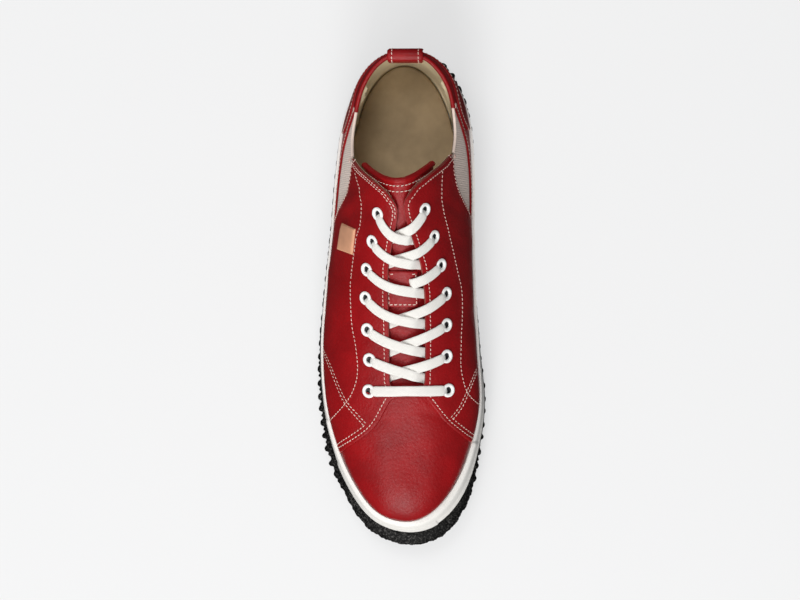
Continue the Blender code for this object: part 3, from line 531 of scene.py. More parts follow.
class Patch:
    """Triangles on the last with station, rise and any number of measured fields at each point."""

    def __init__(self, values, triangles):
        self.values = values        # columns: station, rise, fields
        self.triangles = triangles

    @classmethod
    def from_grid(cls, station, rise):
        values = np.stack((station.ravel(), rise.ravel()), axis=1)
        quads = grid_faces(*station.shape)
        return cls(values, np.concatenate((quads[:, [0, 1, 2]], quads[:, [0, 2, 3]])))

    def points(self):
        return last(self.values[:, 0], self.values[:, 1])

    def lifted(self, lift):
        return skin(self.values[:, 0], self.values[:, 1], lift)

    def add_field(self, field):
        self.values = np.column_stack((self.values, field))
        return self.values.shape[1] - 1

    def split(self, column, level=0.0):
        """Puts new points where a field crosses a level, so that no triangle straddles it."""
        field = self.values[:, column] - level
        field = np.where(np.abs(field) < NEAR_LEVEL, NEAR_LEVEL, field)
        over = field > 0
        counts = over[self.triangles].sum(axis=1)
        mixed = (counts == 1) | (counts == 2)
        kept, crossing = self.triangles[~mixed], self.triangles[mixed]
        lone = np.argmax(over[crossing] == (counts[mixed] == 1)[:, None], axis=1)
        index = np.arange(len(crossing))
        a, b, c = (crossing[index, (lone + k) % 3] for k in range(3))
        edges = np.concatenate((np.stack((a, b), 1), np.stack((a, c), 1)))
        pairs, where = np.unique(np.sort(edges, axis=1), axis=0, return_inverse=True)
        where = where.ravel()
        low, high = pairs[:, 0], pairs[:, 1]
        share = (field[low] / (field[low] - field[high]))[:, None]
        made = self.values[low] * (1 - share) + self.values[high] * share
        made[:, column] = level
        first = len(self.values)
        p, q = first + where[: len(crossing)], first + where[len(crossing):]
        self.values = np.concatenate((self.values, made))
        new = [np.stack(corners, 1) for corners in ((a, p, q), (p, b, c), (p, c, q))]
        self.triangles = np.concatenate((kept, *new))

    def keep(self, column, level=0.0):
        """Drops the triangles whose field lies below the level."""
        middle = self.values[self.triangles, column].mean(axis=1)
        self.triangles = self.triangles[middle >= level]
        used, index = np.unique(self.triangles, return_inverse=True)
        self.values = self.values[used]
        self.triangles = index.reshape(-1, 3)


def distance_to(points, line, chunk=4000):
    """Shortest distance from each point to a chain of points, and how far along the chain that is."""
    start, run = line[:-1], np.diff(line, axis=0)
    length2 = np.maximum((run**2).sum(axis=1), 1e-9)
    best, place = [], []
    for first in range(0, len(points), chunk):
        part = points[first:first + chunk, None, :]
        share = np.clip(((part - start) * run).sum(axis=2) / length2, 0.0, 1.0)
        gap = np.linalg.norm(part - start - share[..., None] * run, axis=2)
        nearest = np.argmin(gap, axis=1)
        rows = np.arange(len(nearest))
        best.append(gap[rows, nearest])
        place.append(nearest + share[rows, nearest])
    return np.concatenate(best), np.concatenate(place)


def smooth_line(corners, step=1.0):
    """A smooth line through corners, with points about this far apart."""
    corners = np.asarray(corners, float)
    padded = np.concatenate(([2 * corners[0] - corners[1]], corners, [2 * corners[-1] - corners[-2]]))
    made = []
    for k in range(len(corners) - 1):
        before, start, end, after = padded[k:k + 4]
        count = max(2, int(np.linalg.norm(end - start) / step))
        t = (np.arange(count) / count)[:, None]
        made.append(0.5 * (2 * start + (end - before) * t + (2 * before - 5 * start + 4 * end - after) * t**2
                           + (3 * start - before - 3 * end + after) * t**3))
    return np.concatenate(made + [corners[-1:]])


def lengths_along(points):
    """How far along a line each of its points lies."""
    return np.concatenate(([0.0], np.cumsum(np.linalg.norm(np.diff(points, axis=0), axis=1))))


def even_line(points, spacing):
    """Places this far apart in space along a line, counted in its own points."""
    lengths = lengths_along(points)
    count = max(2, int(round(lengths[-1] / spacing)) + 1)
    return np.interp(np.linspace(0.0, lengths[-1], count), lengths, np.arange(len(points)))


class Trace:
    """A line drawn on the last."""

    def __init__(self, station, rise):
        self.station, self.rise = np.asarray(station, float), np.asarray(rise, float)

    @classmethod
    def through(cls, plan):
        return cls(*place_on_top(plan[:, 0], plan[:, 1]))

    def points(self, lift=0.0):
        return skin(self.station, self.rise, lift)

    def shifted(self, offset):
        """The same line moved sideways on the surface: to the left of its run where offset is positive."""
        points, up = self.points(), normal(self.station, self.rise)
        side = unit(np.cross(up, np.gradient(points, axis=0)))
        return Trace.through(points + side * offset)


# Materials ------------

PER_METRE = 1.0 / MM


def new_group(name, inputs, outputs):
    """A shader node group with (name, kind, default) inputs and (name, kind) outputs."""
    tree = bpy.data.node_groups.new(name, "ShaderNodeTree")
    for label, kind, default in inputs:
        socket = tree.interface.new_socket(label, in_out="INPUT", socket_type=f"NodeSocket{kind}")
        socket.default_value = default
    for label, kind in outputs:
        tree.interface.new_socket(label, in_out="OUTPUT", socket_type=f"NodeSocket{kind}")
    return tree, tree.nodes.new("NodeGroupInput"), tree.nodes.new("NodeGroupOutput")


def node(tree, kind, *inputs, **settings):
    """A node whose first inputs are given in order, each a value, a socket to link from, or None."""
    made = tree.nodes.new(f"ShaderNode{kind}")
    for key, value in settings.items():
        setattr(made, key, value)
    for socket, value in zip(made.inputs, inputs):
        feed(tree, socket, value)
    return made


def feed(tree, socket, value):
    if isinstance(value, bpy.types.NodeSocket):
        tree.links.new(value, socket)
    elif value is not None:
        socket.default_value = value


def maths(tree, operation, *values):
    return node(tree, "Math", *values, operation=operation).outputs[0]


def remap(tree, value, low, high, to_low=0.0, to_high=1.0):
    return node(tree, "MapRange", value, low, high, to_low, to_high).outputs[0]


def blend_colour(tree, share, first, second):
    made = node(tree, "Mix", data_type="RGBA")
    for label, value in (("Factor_Float", share), ("A_Color", first), ("B_Color", second)):
        feed(tree, next(s for s in made.inputs if s.identifier == label), value)
    return next(s for s in made.outputs if s.identifier == "Result_Color")


def colour(red, green, blue):
    """Scene-linear colour from display values of 0 to 255."""
    shares = [value / 255 for value in (red, green, blue)]
    return (*(c / 12.92 if c <= 0.04045 else ((c + 0.055) / 1.055) ** 2.4 for c in shares), 1.0)


def grain_group():
    """Pebbled leather grain: small cells with fine pores, and a slow change of tone."""
    tree, given, out = new_group(
        "Leather grain",
        [("Cell size", "Float", 0.9), ("Tone size", "Float", 18.0)],
        [("Height", "Float"), ("Tone", "Float"), ("Pores", "Float")],
    )
    place = node(tree, "TexCoord").outputs["Object"]
    cell_scale = maths(tree, "DIVIDE", PER_METRE, given.outputs["Cell size"])
    cells = node(tree, "TexVoronoi", place, None, cell_scale, feature="SMOOTH_F1")
    cells.inputs["Smoothness"].default_value = 0.6
    pores = node(tree, "TexNoise", place, None, maths(tree, "MULTIPLY", cell_scale, 3.0), 3.0, 0.6)
    tone_scale = maths(tree, "DIVIDE", PER_METRE, given.outputs["Tone size"])
    tone = node(tree, "TexNoise", place, None, tone_scale, 4.0, 0.55)
    height = maths(tree, "MULTIPLY_ADD", cells.outputs["Distance"], -0.8, pores.outputs[0])
    feed(tree, out.inputs["Height"], height)
    feed(tree, out.inputs["Tone"], remap(tree, tone.outputs[0], 0.3, 0.7))
    feed(tree, out.inputs["Pores"], remap(tree, pores.outputs[0], 0.35, 0.65))
    return tree


def weave_group():
    """Plain weave along a strip's own length and width, from its map in millimetres; its low places are
    painted darker as shade.
    """
    tree, given, out = new_group(
        "Weave",
        [("Vector", "Vector", (0.0, 0.0, 0.0)), ("Pitch", "Float", 0.8), ("Slant", "Float", 0.6)],
        [("Height", "Float"), ("Painted shade", "Float")],
    )
    parts = node(tree, "SeparateXYZ", given.outputs["Vector"])
    turn = maths(tree, "DIVIDE", 2 * math.pi, given.outputs["Pitch"])
    side = maths(tree, "MULTIPLY", parts.outputs[1], given.outputs["Slant"])
    warp = maths(tree, "SINE", maths(tree, "MULTIPLY", maths(tree, "ADD", parts.outputs[0], side), turn))
    weft = maths(tree, "SINE", maths(tree, "MULTIPLY", maths(tree, "SUBTRACT", parts.outputs[0], side), turn))
    height = maths(tree, "MAXIMUM", warp, weft)
    feed(tree, out.inputs["Height"], height)
    # Painted shade: the weave's low places get the darker tone.
    feed(tree, out.inputs["Painted shade"], remap(tree, height, -0.6, 0.8))
    return tree


def dust_group():
    """Uneven scuffing and dust for rubber: a fine speckle within slow patches."""
    tree, given, out = new_group(
        "Rubber dust",
        [("Patch size", "Float", 14.0), ("Speckle size", "Float", 0.7)],
        [("Amount", "Float"), ("Height", "Float")],
    )
    place = node(tree, "TexCoord").outputs["Object"]
    patch_scale, speckle_scale = (
        maths(tree, "DIVIDE", PER_METRE, given.outputs[f"{kind} size"]) for kind in ("Patch", "Speckle")
    )
    patches = node(tree, "TexNoise", place, None, patch_scale, 3.0, 0.6)
    speckle = node(tree, "TexNoise", place, None, speckle_scale, 2.0, 0.7)
    within = remap(tree, patches.outputs[0], 0.25, 0.75)
    spread = maths(tree, "MULTIPLY", within, remap(tree, speckle.outputs[0], 0.5, 0.68))
    feed(tree, out.inputs["Amount"], spread)
    feed(tree, out.inputs["Height"], speckle.outputs[0])
    return tree


def new_material(name, roughness=0.5, **sockets):
    """A material with its shader; sockets hold the values that are the same all over."""
    made = bpy.data.materials.new(name)
    made.use_nodes = True
    shader = made.node_tree.nodes["Principled BSDF"]
    shader.inputs["Roughness"].default_value = roughness
    for label, value in sockets.items():
        shader.inputs[label.replace("_", " ")].default_value = value
    return made, made.node_tree, shader


def use_group(tree, name, **values):
    made = tree.nodes.new("ShaderNodeGroup")
    made.node_tree = bpy.data.node_groups[name]
    for label, value in values.items():
        feed(tree, made.inputs[label.replace("_", " ")], value)
    return made


def relief(tree, shader, height, strength, distance):
    """Bump from a height, distance in millimetres."""
    bump = node(tree, "Bump", strength, distance * MM)
    feed(tree, bump.inputs["Height"], height)
    feed(tree, shader.inputs["Normal"], bump.outputs[0])


def leather_material(name, dark, light, roughness=0.4, depth=0.05, cell=0.9):
    made, tree, shader = new_material(name, roughness, Specular_IOR_Level=0.3)
    grain = use_group(tree, "Leather grain", Cell_size=cell)
    feed(tree, shader.inputs["Base Color"], blend_colour(tree, grain.outputs["Tone"], dark, light))
    uneven = remap(tree, grain.outputs["Pores"], 0.0, 1.0, roughness + 0.07, roughness - 0.04)
    feed(tree, shader.inputs["Roughness"], uneven)
    relief(tree, shader, grain.outputs["Height"], 0.5, depth)
    return made


def cloth_material(name, dark, light, pitch=0.8, slant=0.6, depth=0.12):
    """Woven tape or cord that follows the piece's own map, with painted shade in the weave's low places."""
    made, tree, shader = new_material(name, 0.85, Sheen_Weight=0.25, Sheen_Roughness=0.5)
    strip = node(tree, "UVMap", uv_map="strip").outputs[0]
    weave = use_group(tree, "Weave", Vector=strip, Pitch=pitch, Slant=slant)
    feed(tree, shader.inputs["Base Color"], blend_colour(tree, weave.outputs["Painted shade"], dark, light))
    relief(tree, shader, weave.outputs["Height"], 0.6, depth)
    return made


def rubber_material(name, base, dusty, roughness=0.7, shine=0.4, speckle=0.7, depth=0.06):
    made, tree, shader = new_material(name, roughness, Specular_IOR_Level=shine)
    dust = use_group(tree, "Rubber dust", Speckle_size=speckle)
    feed(tree, shader.inputs["Base Color"], blend_colour(tree, dust.outputs["Amount"], base, dusty))
    relief(tree, shader, dust.outputs["Height"], 0.5, depth)
    return made


def tones(light, share):
    """A finish's darker tone, a share of its light one, and the light one."""
    return (*(c * share for c in light), 1.0), (*light, 1.0)


def make_materials(upper, lace, sole):
    """Every finish of the shoe, once."""
    grain_group()
    weave_group()
    dust_group()
    edge_dark, edge_light = colour(112, 34, 32), colour(158, 66, 60)
    thread_dark, thread_light = colour(206, 172, 160), colour(238, 214, 202)
    leather_material("red leather", *tones(upper.leather, 0.72), roughness=0.42, depth=0.34, cell=1.7)
    leather_material("lining leather", *tones(upper.lining, 0.77), roughness=0.6, depth=0.04, cell=1.3)
    leather_material("cut leather edge", edge_dark, edge_light, roughness=0.7, depth=0.05, cell=0.5)
    leather_material("insole suede", *tones(sole.insole, 0.69), roughness=0.85, depth=0.05, cell=0.5)
    leather_material("tag leather", *tones(upper.tag, 0.71), roughness=0.55, depth=0.04, cell=0.8)
    leather_material("sewing thread", thread_dark, thread_light, roughness=0.7, depth=0.03, cell=0.3)
    dusty, white = tones(sole.foxing, 0.8)
    rubber_material("foxing rubber", white, dusty, roughness=0.5)
    black, dust = (*sole.rubber, 1.0), colour(98, 96, 93)
    rubber_material("black rubber", black, dust, roughness=0.6, shine=0.12, speckle=1.0, depth=0.4)
    rubber_material("eyelet enamel", colour(244, 244, 241), colour(232, 232, 228), roughness=0.3)
    # Near black with a blue cast: painted shade for the dark inside of the eyelets' holes.
    rubber_material("eyelet barrel", colour(16, 14, 20), colour(34, 32, 40), roughness=0.5)
    # The darker tones of lace and gores are painted shade in the hollows of their weave.
    cloth_material("lace cotton", *tones(lace.cotton, 0.72))
    # The gores' warm cream is partly their own colour and partly a painted reflection of the red leather
    # beside them.
    cloth_material("gore elastic", *tones(upper.elastic, 0.81), pitch=1.3, slant=0.0, depth=0.14)


# Upper ------------

SIDES = ((-1, "lateral"), (1, "medial"))
VAMP_LIFT = -0.75
VAMP_UNDERLAP = 9.0         # how far the vamp runs on under the quarters
QUARTER_LIFT = 0.3
GORE_LIFT = -0.9
GORE_UNDERLAP = 3.0
LINING_LIFT = -2.0
LINING_FOOT = 0.4           # how far the lining comes in over the footbed's edge, and stands above the seat
PANEL_ROUND = 0.8           # how far in from its cut edge a panel's face starts to round over
CUT_LEVELS = (0.0, 0.25, PANEL_ROUND)
SEAM_MARGIN = {"lateral": 3.0, "medial": -2.5}      # from the stitches to the quarter's front edge
EYELET_CUT = 0.6            # how much wider than an eyelet's hole its leather is cut
RIM_SIDES = 12
# Rolled edges: how far they lie above the last's surface, from and to, and how far they swell upwards.
RIMS = {
    "facing_edge": ((-1.5, 0.1), 0.4),
    "gore_binding": ((-1.7, 0.1), 0.7),
    "collar_band": ((-1.9, 0.55), 1.1),
}


def round_over(inside):
    """0 on a panel's cut edge and 1 where its face is flat."""
    share = np.clip(inside / PANEL_ROUND, 0.0, 1.0)
    return np.sqrt(1 - (1 - share) ** 2)


def upper_grid(columns=401, rows=38):
    station = np.linspace(-180.0, 180.0, columns)
    top = top_rise(station)
    share = np.linspace(0.0, 1.0, rows) ** 0.85
    return Patch.from_grid(*np.broadcast_arrays(station[:, None], top[:, None] * share[None, :]))


def label_of(side):
    return dict(SIDES)[side]


def seam_edge(side):
    """The quarter's front edge, a little nearer the toe than its stitches."""
    label = label_of(side)
    return Trace.through(smooth_line(SEAMS[f"vamp_{label}"])).shifted(SEAM_MARGIN[label])


def behind_seam(patch):
    """Millimetres behind the quarters' front edges, negative on the vamp."""
    points, values = patch.points(), np.zeros(len(patch.values))
    for side in (-1, 1):
        edge = seam_edge(side)
        on_side = np.sign(patch.values[:, 0]) == side
        if side > 0:
            on_side |= patch.values[:, 0] == 0
        gap, _ = distance_to(points[on_side], edge.points())
        order = np.argsort(edge.rise)
        limit = np.interp(patch.values[on_side, 1], edge.rise[order], np.abs(edge.station[order]))
        values[on_side] = np.where(np.abs(patch.values[on_side, 0]) > limit, gap, -gap)
    return values


def inside_polygon(points, polygon):
    inside = np.zeros(len(points), bool)
    for (x0, y0), (x1, y1) in zip(polygon, np.roll(polygon, -1, axis=0)):
        crosses = (y0 > points[:, 1]) != (y1 > points[:, 1])
        inside ^= crosses & (points[:, 0] < (x1 - x0) * (points[:, 1] - y0) / (y1 - y0 + 1e-12) + x0)
    return inside


def gore_line():
    corners = np.column_stack((GORE_OUTLINE["y"], GORE_OUTLINE["z"]))
    return smooth_line(corners, 1.0)


def outside_gore(patch):
    """Millimetres outside the gore's outline, negative on the elastic."""
    points = patch.points()
    flat = np.column_stack((points[:, 1] - back_of(patch.values[:, 0]), points[:, 2]))
    line = gore_line()
    gap, _ = distance_to(flat, line)
    return np.where(inside_polygon(flat, line), -gap, gap)


def eyelet_rows(side):
    return np.column_stack([EYELETS[f"{label_of(side)}_{axis}"] for axis in "xy"])


def outside_eyelets(patch):
    """Millimetres outside the nearest eyelet's cut, negative within it."""
    points = patch.points()
    centres = [last(*place_on_top(x, y)) for side, _ in SIDES for x, y in eyelet_rows(side)]
    nearest = np.min([np.linalg.norm(points - centre, axis=1) for centre in centres], axis=0)
    return nearest - EYELET_HOLE - EYELET_CUT


def make_vamp():
    patch = upper_grid()
    seam = patch.add_field(-behind_seam(patch))
    patch.split(seam, -VAMP_UNDERLAP)
    patch.keep(seam, -VAMP_UNDERLAP)
    points = patch.lifted(VAMP_LIFT)
    finish_mesh("vamp", points, patch.triangles, "red leather", "leather_red", ("upper",), WELD)


def make_quarters():
    patch = upper_grid()
    seam = patch.add_field(behind_seam(patch))
    gore = patch.add_field(outside_gore(patch))
    hole = patch.add_field(outside_eyelets(patch))
    for column, levels in ((seam, CUT_LEVELS), (gore, CUT_LEVELS), (hole, CUT_LEVELS[:1])):
        for level in levels:
            patch.split(column, level)
            if level == 0.0:
                patch.keep(column)
    edge = np.minimum(patch.values[:, seam], patch.values[:, gore])
    points = patch.lifted(VAMP_LIFT + (QUARTER_LIFT - VAMP_LIFT) * round_over(edge))
    finish_mesh("quarters", points, patch.triangles, "red leather", "leather_red", weld=WELD)


def make_lining():
    """The lining, with the folds that run down from the gores' rear corners."""
    columns, rows = 481, 44
    station, share = np.linspace(-180.0, 180.0, columns), np.linspace(0.0, 1.0, rows)
    station, rise = np.broadcast_arrays(station[:, None], top_rise(station)[:, None] * share[None, :])
    base = last(station, rise)
    inner = footbed_inset(station[:, 0]) - LINING_FOOT
    lift = LINING_LIFT + (-LINING_LIFT - inner)[:, None] * (1 - share)
    for side, first, end, wide, high in LINING_FOLDS:
        fold = np.linspace(first, end, 20)
        gap, _ = distance_to(base.reshape(-1, 3), last(*place_on_side(fold[:, 0], fold[:, 1], side)))
        lift += high * np.exp(-((gap.reshape(lift.shape) / wide) ** 2))
    points = base + normal(station, rise) * lift[..., None]
    foot = sole_points(station[:, 0], -inner, section(SOLE["seat_z"], station[:, 0]) + LINING_FOOT)
    points = np.concatenate((foot[:, None], points), axis=1)
    faces = grid_faces(*points.shape[:2])[:, ::-1]
    finish_mesh("lining", points.reshape(-1, 3), faces, "lining leather", "leather_red")


def rim_strip(kind, suffix, stations, material, slot="leather_red"):
    """A rolled edge along the top of the upper between two stations."""
    lifts, swell = RIMS[kind]
    top = top_rise(stations)
    base, out = last(stations, top), normal(stations, top)
    up = unit(last(stations, top + 0.3) - last(stations, top - 0.3))
    turn = np.linspace(0.0, 2 * math.pi, RIM_SIDES + 1)[:-1]
    middle, half = (lifts[0] + lifts[1]) / 2, (lifts[1] - lifts[0]) / 2
    rings = [base + out * (middle + half * math.cos(a)) + up * swell * math.sin(a) for a in turn]
    points = np.stack(rings, axis=1)
    faces = grid_faces(*points.shape[:2], close_columns=True)
    end = len(stations) * RIM_SIDES
    caps = [list(range(RIM_SIDES))[::-1], list(range(end - RIM_SIDES, end))]
    finish_mesh(kind + suffix, points.reshape(-1, 3), list(faces) + caps, material, slot)


def ankle_station(y, side):
    """The station of what is cut at this y laterally, and a little farther back medially."""
    return float(station_at_y(y + (MEDIAL_BACK if side > 0 else 0.0), side))


def corner_station(side):
    return ankle_station(COLLAR["y"][0], side)


def make_rims():
    """The facings' cut edges, the gores' bindings and the collar's band, with small gaps between them."""
    gap = 0.3
    for side, label in SIDES:
        front = float(station_at_y(THROAT_FRONT_Y + 0.5, side))
        throat = np.linspace(front, corner_station(side) - gap * side, 120)
        rim_strip("facing_edge", f"_{label}", throat, "cut leather edge")
        ankle = np.linspace(corner_station(side) + gap * side, ankle_station(GORE_REAR_Y, side), 40)
        rim_strip("gore_binding", f"_{label}", ankle, "gore elastic", "elastic")
    rear = [abs(ankle_station(GORE_REAR_Y, side)) for side, _ in SIDES]
    rim_strip("collar_band", "", round_heel(*rear, 120), "red leather")


def make_gores():
    for side, label in SIDES:
        patch = upper_grid()
        own = patch.add_field(patch.values[:, 0] * side)
        patch.keep(own)
        gore = patch.add_field(-outside_gore(patch))
        patch.split(gore, -GORE_UNDERLAP)
        patch.keep(gore, -GORE_UNDERLAP)
        points = patch.lifted(GORE_LIFT)
        name, replaced = f"gore_elastic_{label}", (f"gore_{label}",)
        piece = finish_mesh(name, points, patch.triangles, "gore elastic", "elastic", replaced)
        write_map(piece, (points + TO_CENTRE)[:, 1:])


def write_map(piece, flat):
    """Gives the piece a map in millimetres, from each of its points' places on it."""
    mesh = piece.data
    spots = np.zeros(len(mesh.loops), int)
    mesh.loops.foreach_get("vertex_index", spots)
    mesh.uv_layers.new(name="strip").data.foreach_set("uv", flat[spots].ravel())


# Sole ------------


def footbed_inset(station):
    """How far inside the feather line the footbed ends: where the heel's oval lies, if that is farther in."""
    station = np.asarray(station, float)
    scale = np.array((FOOTBED_HEEL["half_width"], FOOTBED_HEEL["half_length"]))
    place = (feather(station)[..., :2] - (FOOTBED_HEEL["x"], FOOTBED_HEEL["y"])) / scale
    run = -plan_normal(station)[..., :2] / scale
    square, cross = (run * run).sum(axis=-1), (run * place).sum(axis=-1)
    beyond = (place * place).sum(axis=-1) - 1.0
    reach = (-cross - np.sqrt(np.maximum(cross**2 - square * beyond, 0.0))) / square
    heel = fade(place[..., 1] * scale[1], FOOTBED_HEEL["from"], FOOTBED_HEEL["over"])
    return section(SOLE["insole_in"], station) * (1 - heel) + np.clip(reach, *FOOTBED_HEEL["inset"]) * heel


def plan_normal(station):
    """The feather line's outward direction, seen from above."""
    tangent = feather(station + 0.5) - feather(station - 0.5)
    return unit(np.stack((tangent[..., 1], -tangent[..., 0], np.zeros(tangent.shape[:-1])), axis=-1))


def sole_points(station, out, height):
    """Points this far outside the feather line, at this height."""
    station = np.asarray(station, float)
    place = feather(station) + np.asarray(out)[..., None] * plan_normal(station)
    place[..., 2] = height
    return place


def foxing_width(station, share):
    full = section(SOLE["foxing_out"], station) + section(SOLE["foxing_skew"], station, odd=True)
    return FOXING_LIP + (full - FOXING_LIP) * share


def ground_height(station):
    return np.maximum(0.0, section(SOLE["ground_z"], station))


def ring_stations(count):
    return np.linspace(-180.0, 180.0, count + 1)[:-1]


def closed_rings(rings):
    """Points and faces of a body of rings, capped at both ends from each lateral point to its medial twin."""
    points = np.stack(rings)
    levels, count = points.shape[:2]
    faces = [tuple(face) for face in grid_faces(levels, count, close_columns=True)]
    for first, turn in ((0, -1), ((levels - 1) * count, 1)):
        for k in range(count // 2):
            corners = dict.fromkeys(first + corner % count for corner in (k, k + 1, count - k - 1, count - k))
            faces.append(tuple(corners)[::turn])
    return points.reshape(-1, 3), faces


def step_between(values, first, second, blur):
    """1 where values lie between first and second, falling to 0 over blur at both ends."""
    return np.clip((values - first) / blur + 0.5, 0, 1) * np.clip((second - values) / blur + 0.5, 0, 1)


def strip_round_toe(station, strip):
    """1 on the stations that a strip round the toe covers, and 0 on the rest."""
    ends = float(station_at_y(strip["lateral_y"], -1)), float(station_at_y(strip["medial_y"], 1))
    return step_between(station, *ends, 0.5)


def rib_at(share):
    """How far the foxing's ribs cut in at this share of its height."""
    cuts = (math.exp(-(((share - at) / FOXING_RIBS["half_width"]) ** 2)) for at in FOXING_RIBS["at"])
    return -FOXING_RIBS["depth"] * sum(cuts)


def make_foxing():
    """The white band, its ribs and the two strips that lie on it round the toe."""
    station = ring_stations(960)
    foot_z = feather(station)[:, 2]
    low = section(SOLE["rand_top_z"], station) - FOXING_FOOT
    toe_strip, bumper = strip_round_toe(station, TOE_STRIP), strip_round_toe(station, TOE_BUMPER)
    toe_lift = TOE_STRIP["lift"] * toe_strip
    even = np.linspace(0.0, 1.0, 46)
    out_key = smooth_values(np.interp(even, FOXING_FACE["up"], FOXING_FACE["out"]), 8)
    beside = np.linspace(-FOXING_RIBS["reach"], FOXING_RIBS["reach"], 7)
    shares = np.unique(np.concatenate([even, *(at + beside for at in FOXING_RIBS["at"])]))
    rings = []
    for share, out_share in zip(shares, np.interp(shares, even, out_key)):
        above = fade(share, TOE_STRIP_FOOT, 0.02) * fade(share, 1.0, -0.03)
        under = fade(share, TOE_STRIP_FOOT, -0.02)
        out = foxing_width(station, out_share) + rib_at(share) * (1 - bumper * (share < TOE_STRIP_FOOT))
        out += TOE_STRIP["proud"] * toe_strip * above + TOE_BUMPER["proud"] * bumper * under
        rings.append(sole_points(station, out, low + (foot_z + 0.6 + toe_lift - low) * share))
    rings.append(sole_points(station, 0.5, foot_z + 0.75 + toe_lift))
    rings.append(sole_points(station, -0.6, foot_z + 0.2))
    rings.append(sole_points(station, -0.6, section(SOLE["seat_z"], station) + 0.1))
    points, faces = closed_rings(rings)
    finish_mesh("foxing", points, faces, "foxing rubber", "foxing_white", ("midsole",))


def lug_shape(walk, dice, pitch):
    """Height of the lugs at each distance round the edge: full and half ones in turn, none quite alike."""
    count = int(walk[-1] / pitch)
    middles = (np.arange(count) + 0.5 + dice.uniform(-LUG["stray"], LUG["stray"], count)) * walk[-1] / count
    shape = np.zeros(len(walk))
    for middle in middles:
        full, size = dice.uniform(*LUG["height"]), dice.uniform(*LUG["half_width"])
        shape += full * np.exp(-np.abs((walk - middle) / size) ** LUG["square"])
        half = middle + pitch * (0.5 + dice.uniform(-HALF_LUG["stray"], HALF_LUG["stray"]))
        high = dice.uniform(*HALF_LUG["height"])
        shape += high * np.exp(-np.abs((walk - half) / HALF_LUG["half_width"]) ** HALF_LUG["square"])
    return shape


def rough(points, size, seed):
    """Smooth noise of about -1 to 1 whose lumps are this big."""
    start = Vector((seed, 0.0, 0.0))
    return np.array([noise.noise(Vector(point) / size + start) for point in points.tolist()])


def sole_part(name, station):
    """1 within a part of the sole and 0 outside it."""
    return math.prod(fade(station, *end) for end in SOLE_PARTS[name])


def make_outsole(sole):
    """The black sole: tread underneath, and an edge rolled up over the foxing with lugs all round."""
    station = ring_stations(1440)
    top, ground = section(SOLE["rand_top_z"], station), ground_height(station)
    rim = foxing_width(station, 1.0)
    out = section(SOLE["rand_out"], station) + section(SOLE["rand_skew"], station, odd=True)
    parts = {name: sole_part(name, np.abs(station)) for name in LUG_LOSS}
    toe, heel, waist = parts["toe"], parts["heel"], parts["waist"]
    bump = np.exp(-(((station - HEEL_BUMP["station"]) / HEEL_BUMP["half_width"]) ** 2))
    tucked = sole_part("medial waist", station) - bump
    tooth = lug_shape(lengths_along(feather(station)), np.random.default_rng(11), sole.lug_pitch / MM)
    lug = tooth * math.prod(1 - loss * parts[name] for name, loss in LUG_LOSS.items())
    lug_proud = sole.lug_proud / MM
    grown = lug - LUG_MIDDLE + LUG_WAIST_LIFT * waist
    grown = np.where(grown < 0, 2.0 - toe, 1.0) * grown
    groove = LUG_GROOVE * np.clip(1 - tooth, 0.0, 1.0) * (1 - GROOVE_TOE_LOSS * toe)
    wave = LUG_TOP["lift"] * (lug - LUG_TOP["middle"]) * (1 - LUG_TOP["toe_loss"] * toe)
    roughness = EDGE_ROUGH["plain"] + EDGE_ROUGH["toe"] * toe + EDGE_ROUGH["heel"] * heel
    inner = section(SOLE["ground_in"], station)
    rings = [sole_points(station, inner - inset, ground + high) for inset, high in TREAD_RIM]
    for share in np.linspace(0.0, 1.0, 17):
        wide, proud = (np.interp(share, ROLLED_EDGE["up"], ROLLED_EDGE[name]) for name in ("out", "lug"))
        height = ground + (top - EDGE_CREST - ground) * share + wave * share**3
        below = fade(height, top - GROOVE_TOP, -GROOVE_OVER)
        width = rim + EDGE_GAP + (out - rim - EDGE_GAP) * wide
        width += (lug_proud * grown - EDGE_TUCK * tucked - groove * below) * proud
        place = sole_points(station, np.maximum(width, rim + EDGE_GAP_LEAST - GROOVE_MOST * below), height)
        lumps = sum(high * rough(place, size, seed) for high, size, seed in EDGE_LUMPS)
        place += plan_normal(station) * (lumps * roughness * proud)[:, None]
        place[:, 2] = np.maximum(place[:, 2], 0.0)
        rings.append(place)
    rings.append(sole_points(station, rim - 0.3, top - 0.8))
    rings.append(sole_points(station, rim - 0.4, ground + 6.0))
    points, faces = closed_rings(rings)
    finish_mesh("outsole_edge", points, faces, "black rubber", "rubber_black", ("outsole",))
    make_tread()


def make_tread():
    """Rows of short staggered bars under the sole, inside its rim."""
    parts = []
    for row, y in enumerate(np.arange(*TREAD["y"], TREAD["row"])):
        left, right = (feather(station_at_y(y, side))[0] - side * TREAD["margin"] for side in (-1, 1))
        shift = TREAD["pitch"] / 2 * (row % 2)
        base = float(ground_height(station_at_y(y, 1)))
        for x in np.arange(left + shift, right - TREAD["least"], TREAD["pitch"]):
            wide = min(TREAD["bar"], right - x)
            parts.append(rounded_bar(x, y, wide, TREAD["deep"], base, TREAD_DEPTH + TREAD["sunk"]))
    finish_parts("tread_bars", parts, "black rubber", "rubber_black")


def rounded_bar(x, y, wide, deep, base, high):
    """One bar of tread hanging from the sole, its edges drawn in towards the ground."""
    sides = 12
    turn = (np.arange(sides) + 0.5) * 2 * math.pi / sides
    square = np.column_stack((np.cos(turn), np.sin(turn)))
    square = np.sign(square) * np.abs(square) ** 0.5
    rings = []
    for share, inset in ((1.0, 0.0), (0.25, 0.15), (0.0, 0.5)):
        ring = square * (wide / 2 - inset, deep / 2 - inset) + (x + wide / 2, y)
        rings.append(np.column_stack((ring, np.full(sides, base + high * share))))
    count = len(rings)
    faces = [tuple(face) for face in grid_faces(count, sides, close_columns=True)]
    return np.concatenate(rings), faces + [tuple(range((count - 1) * sides, count * sides))]


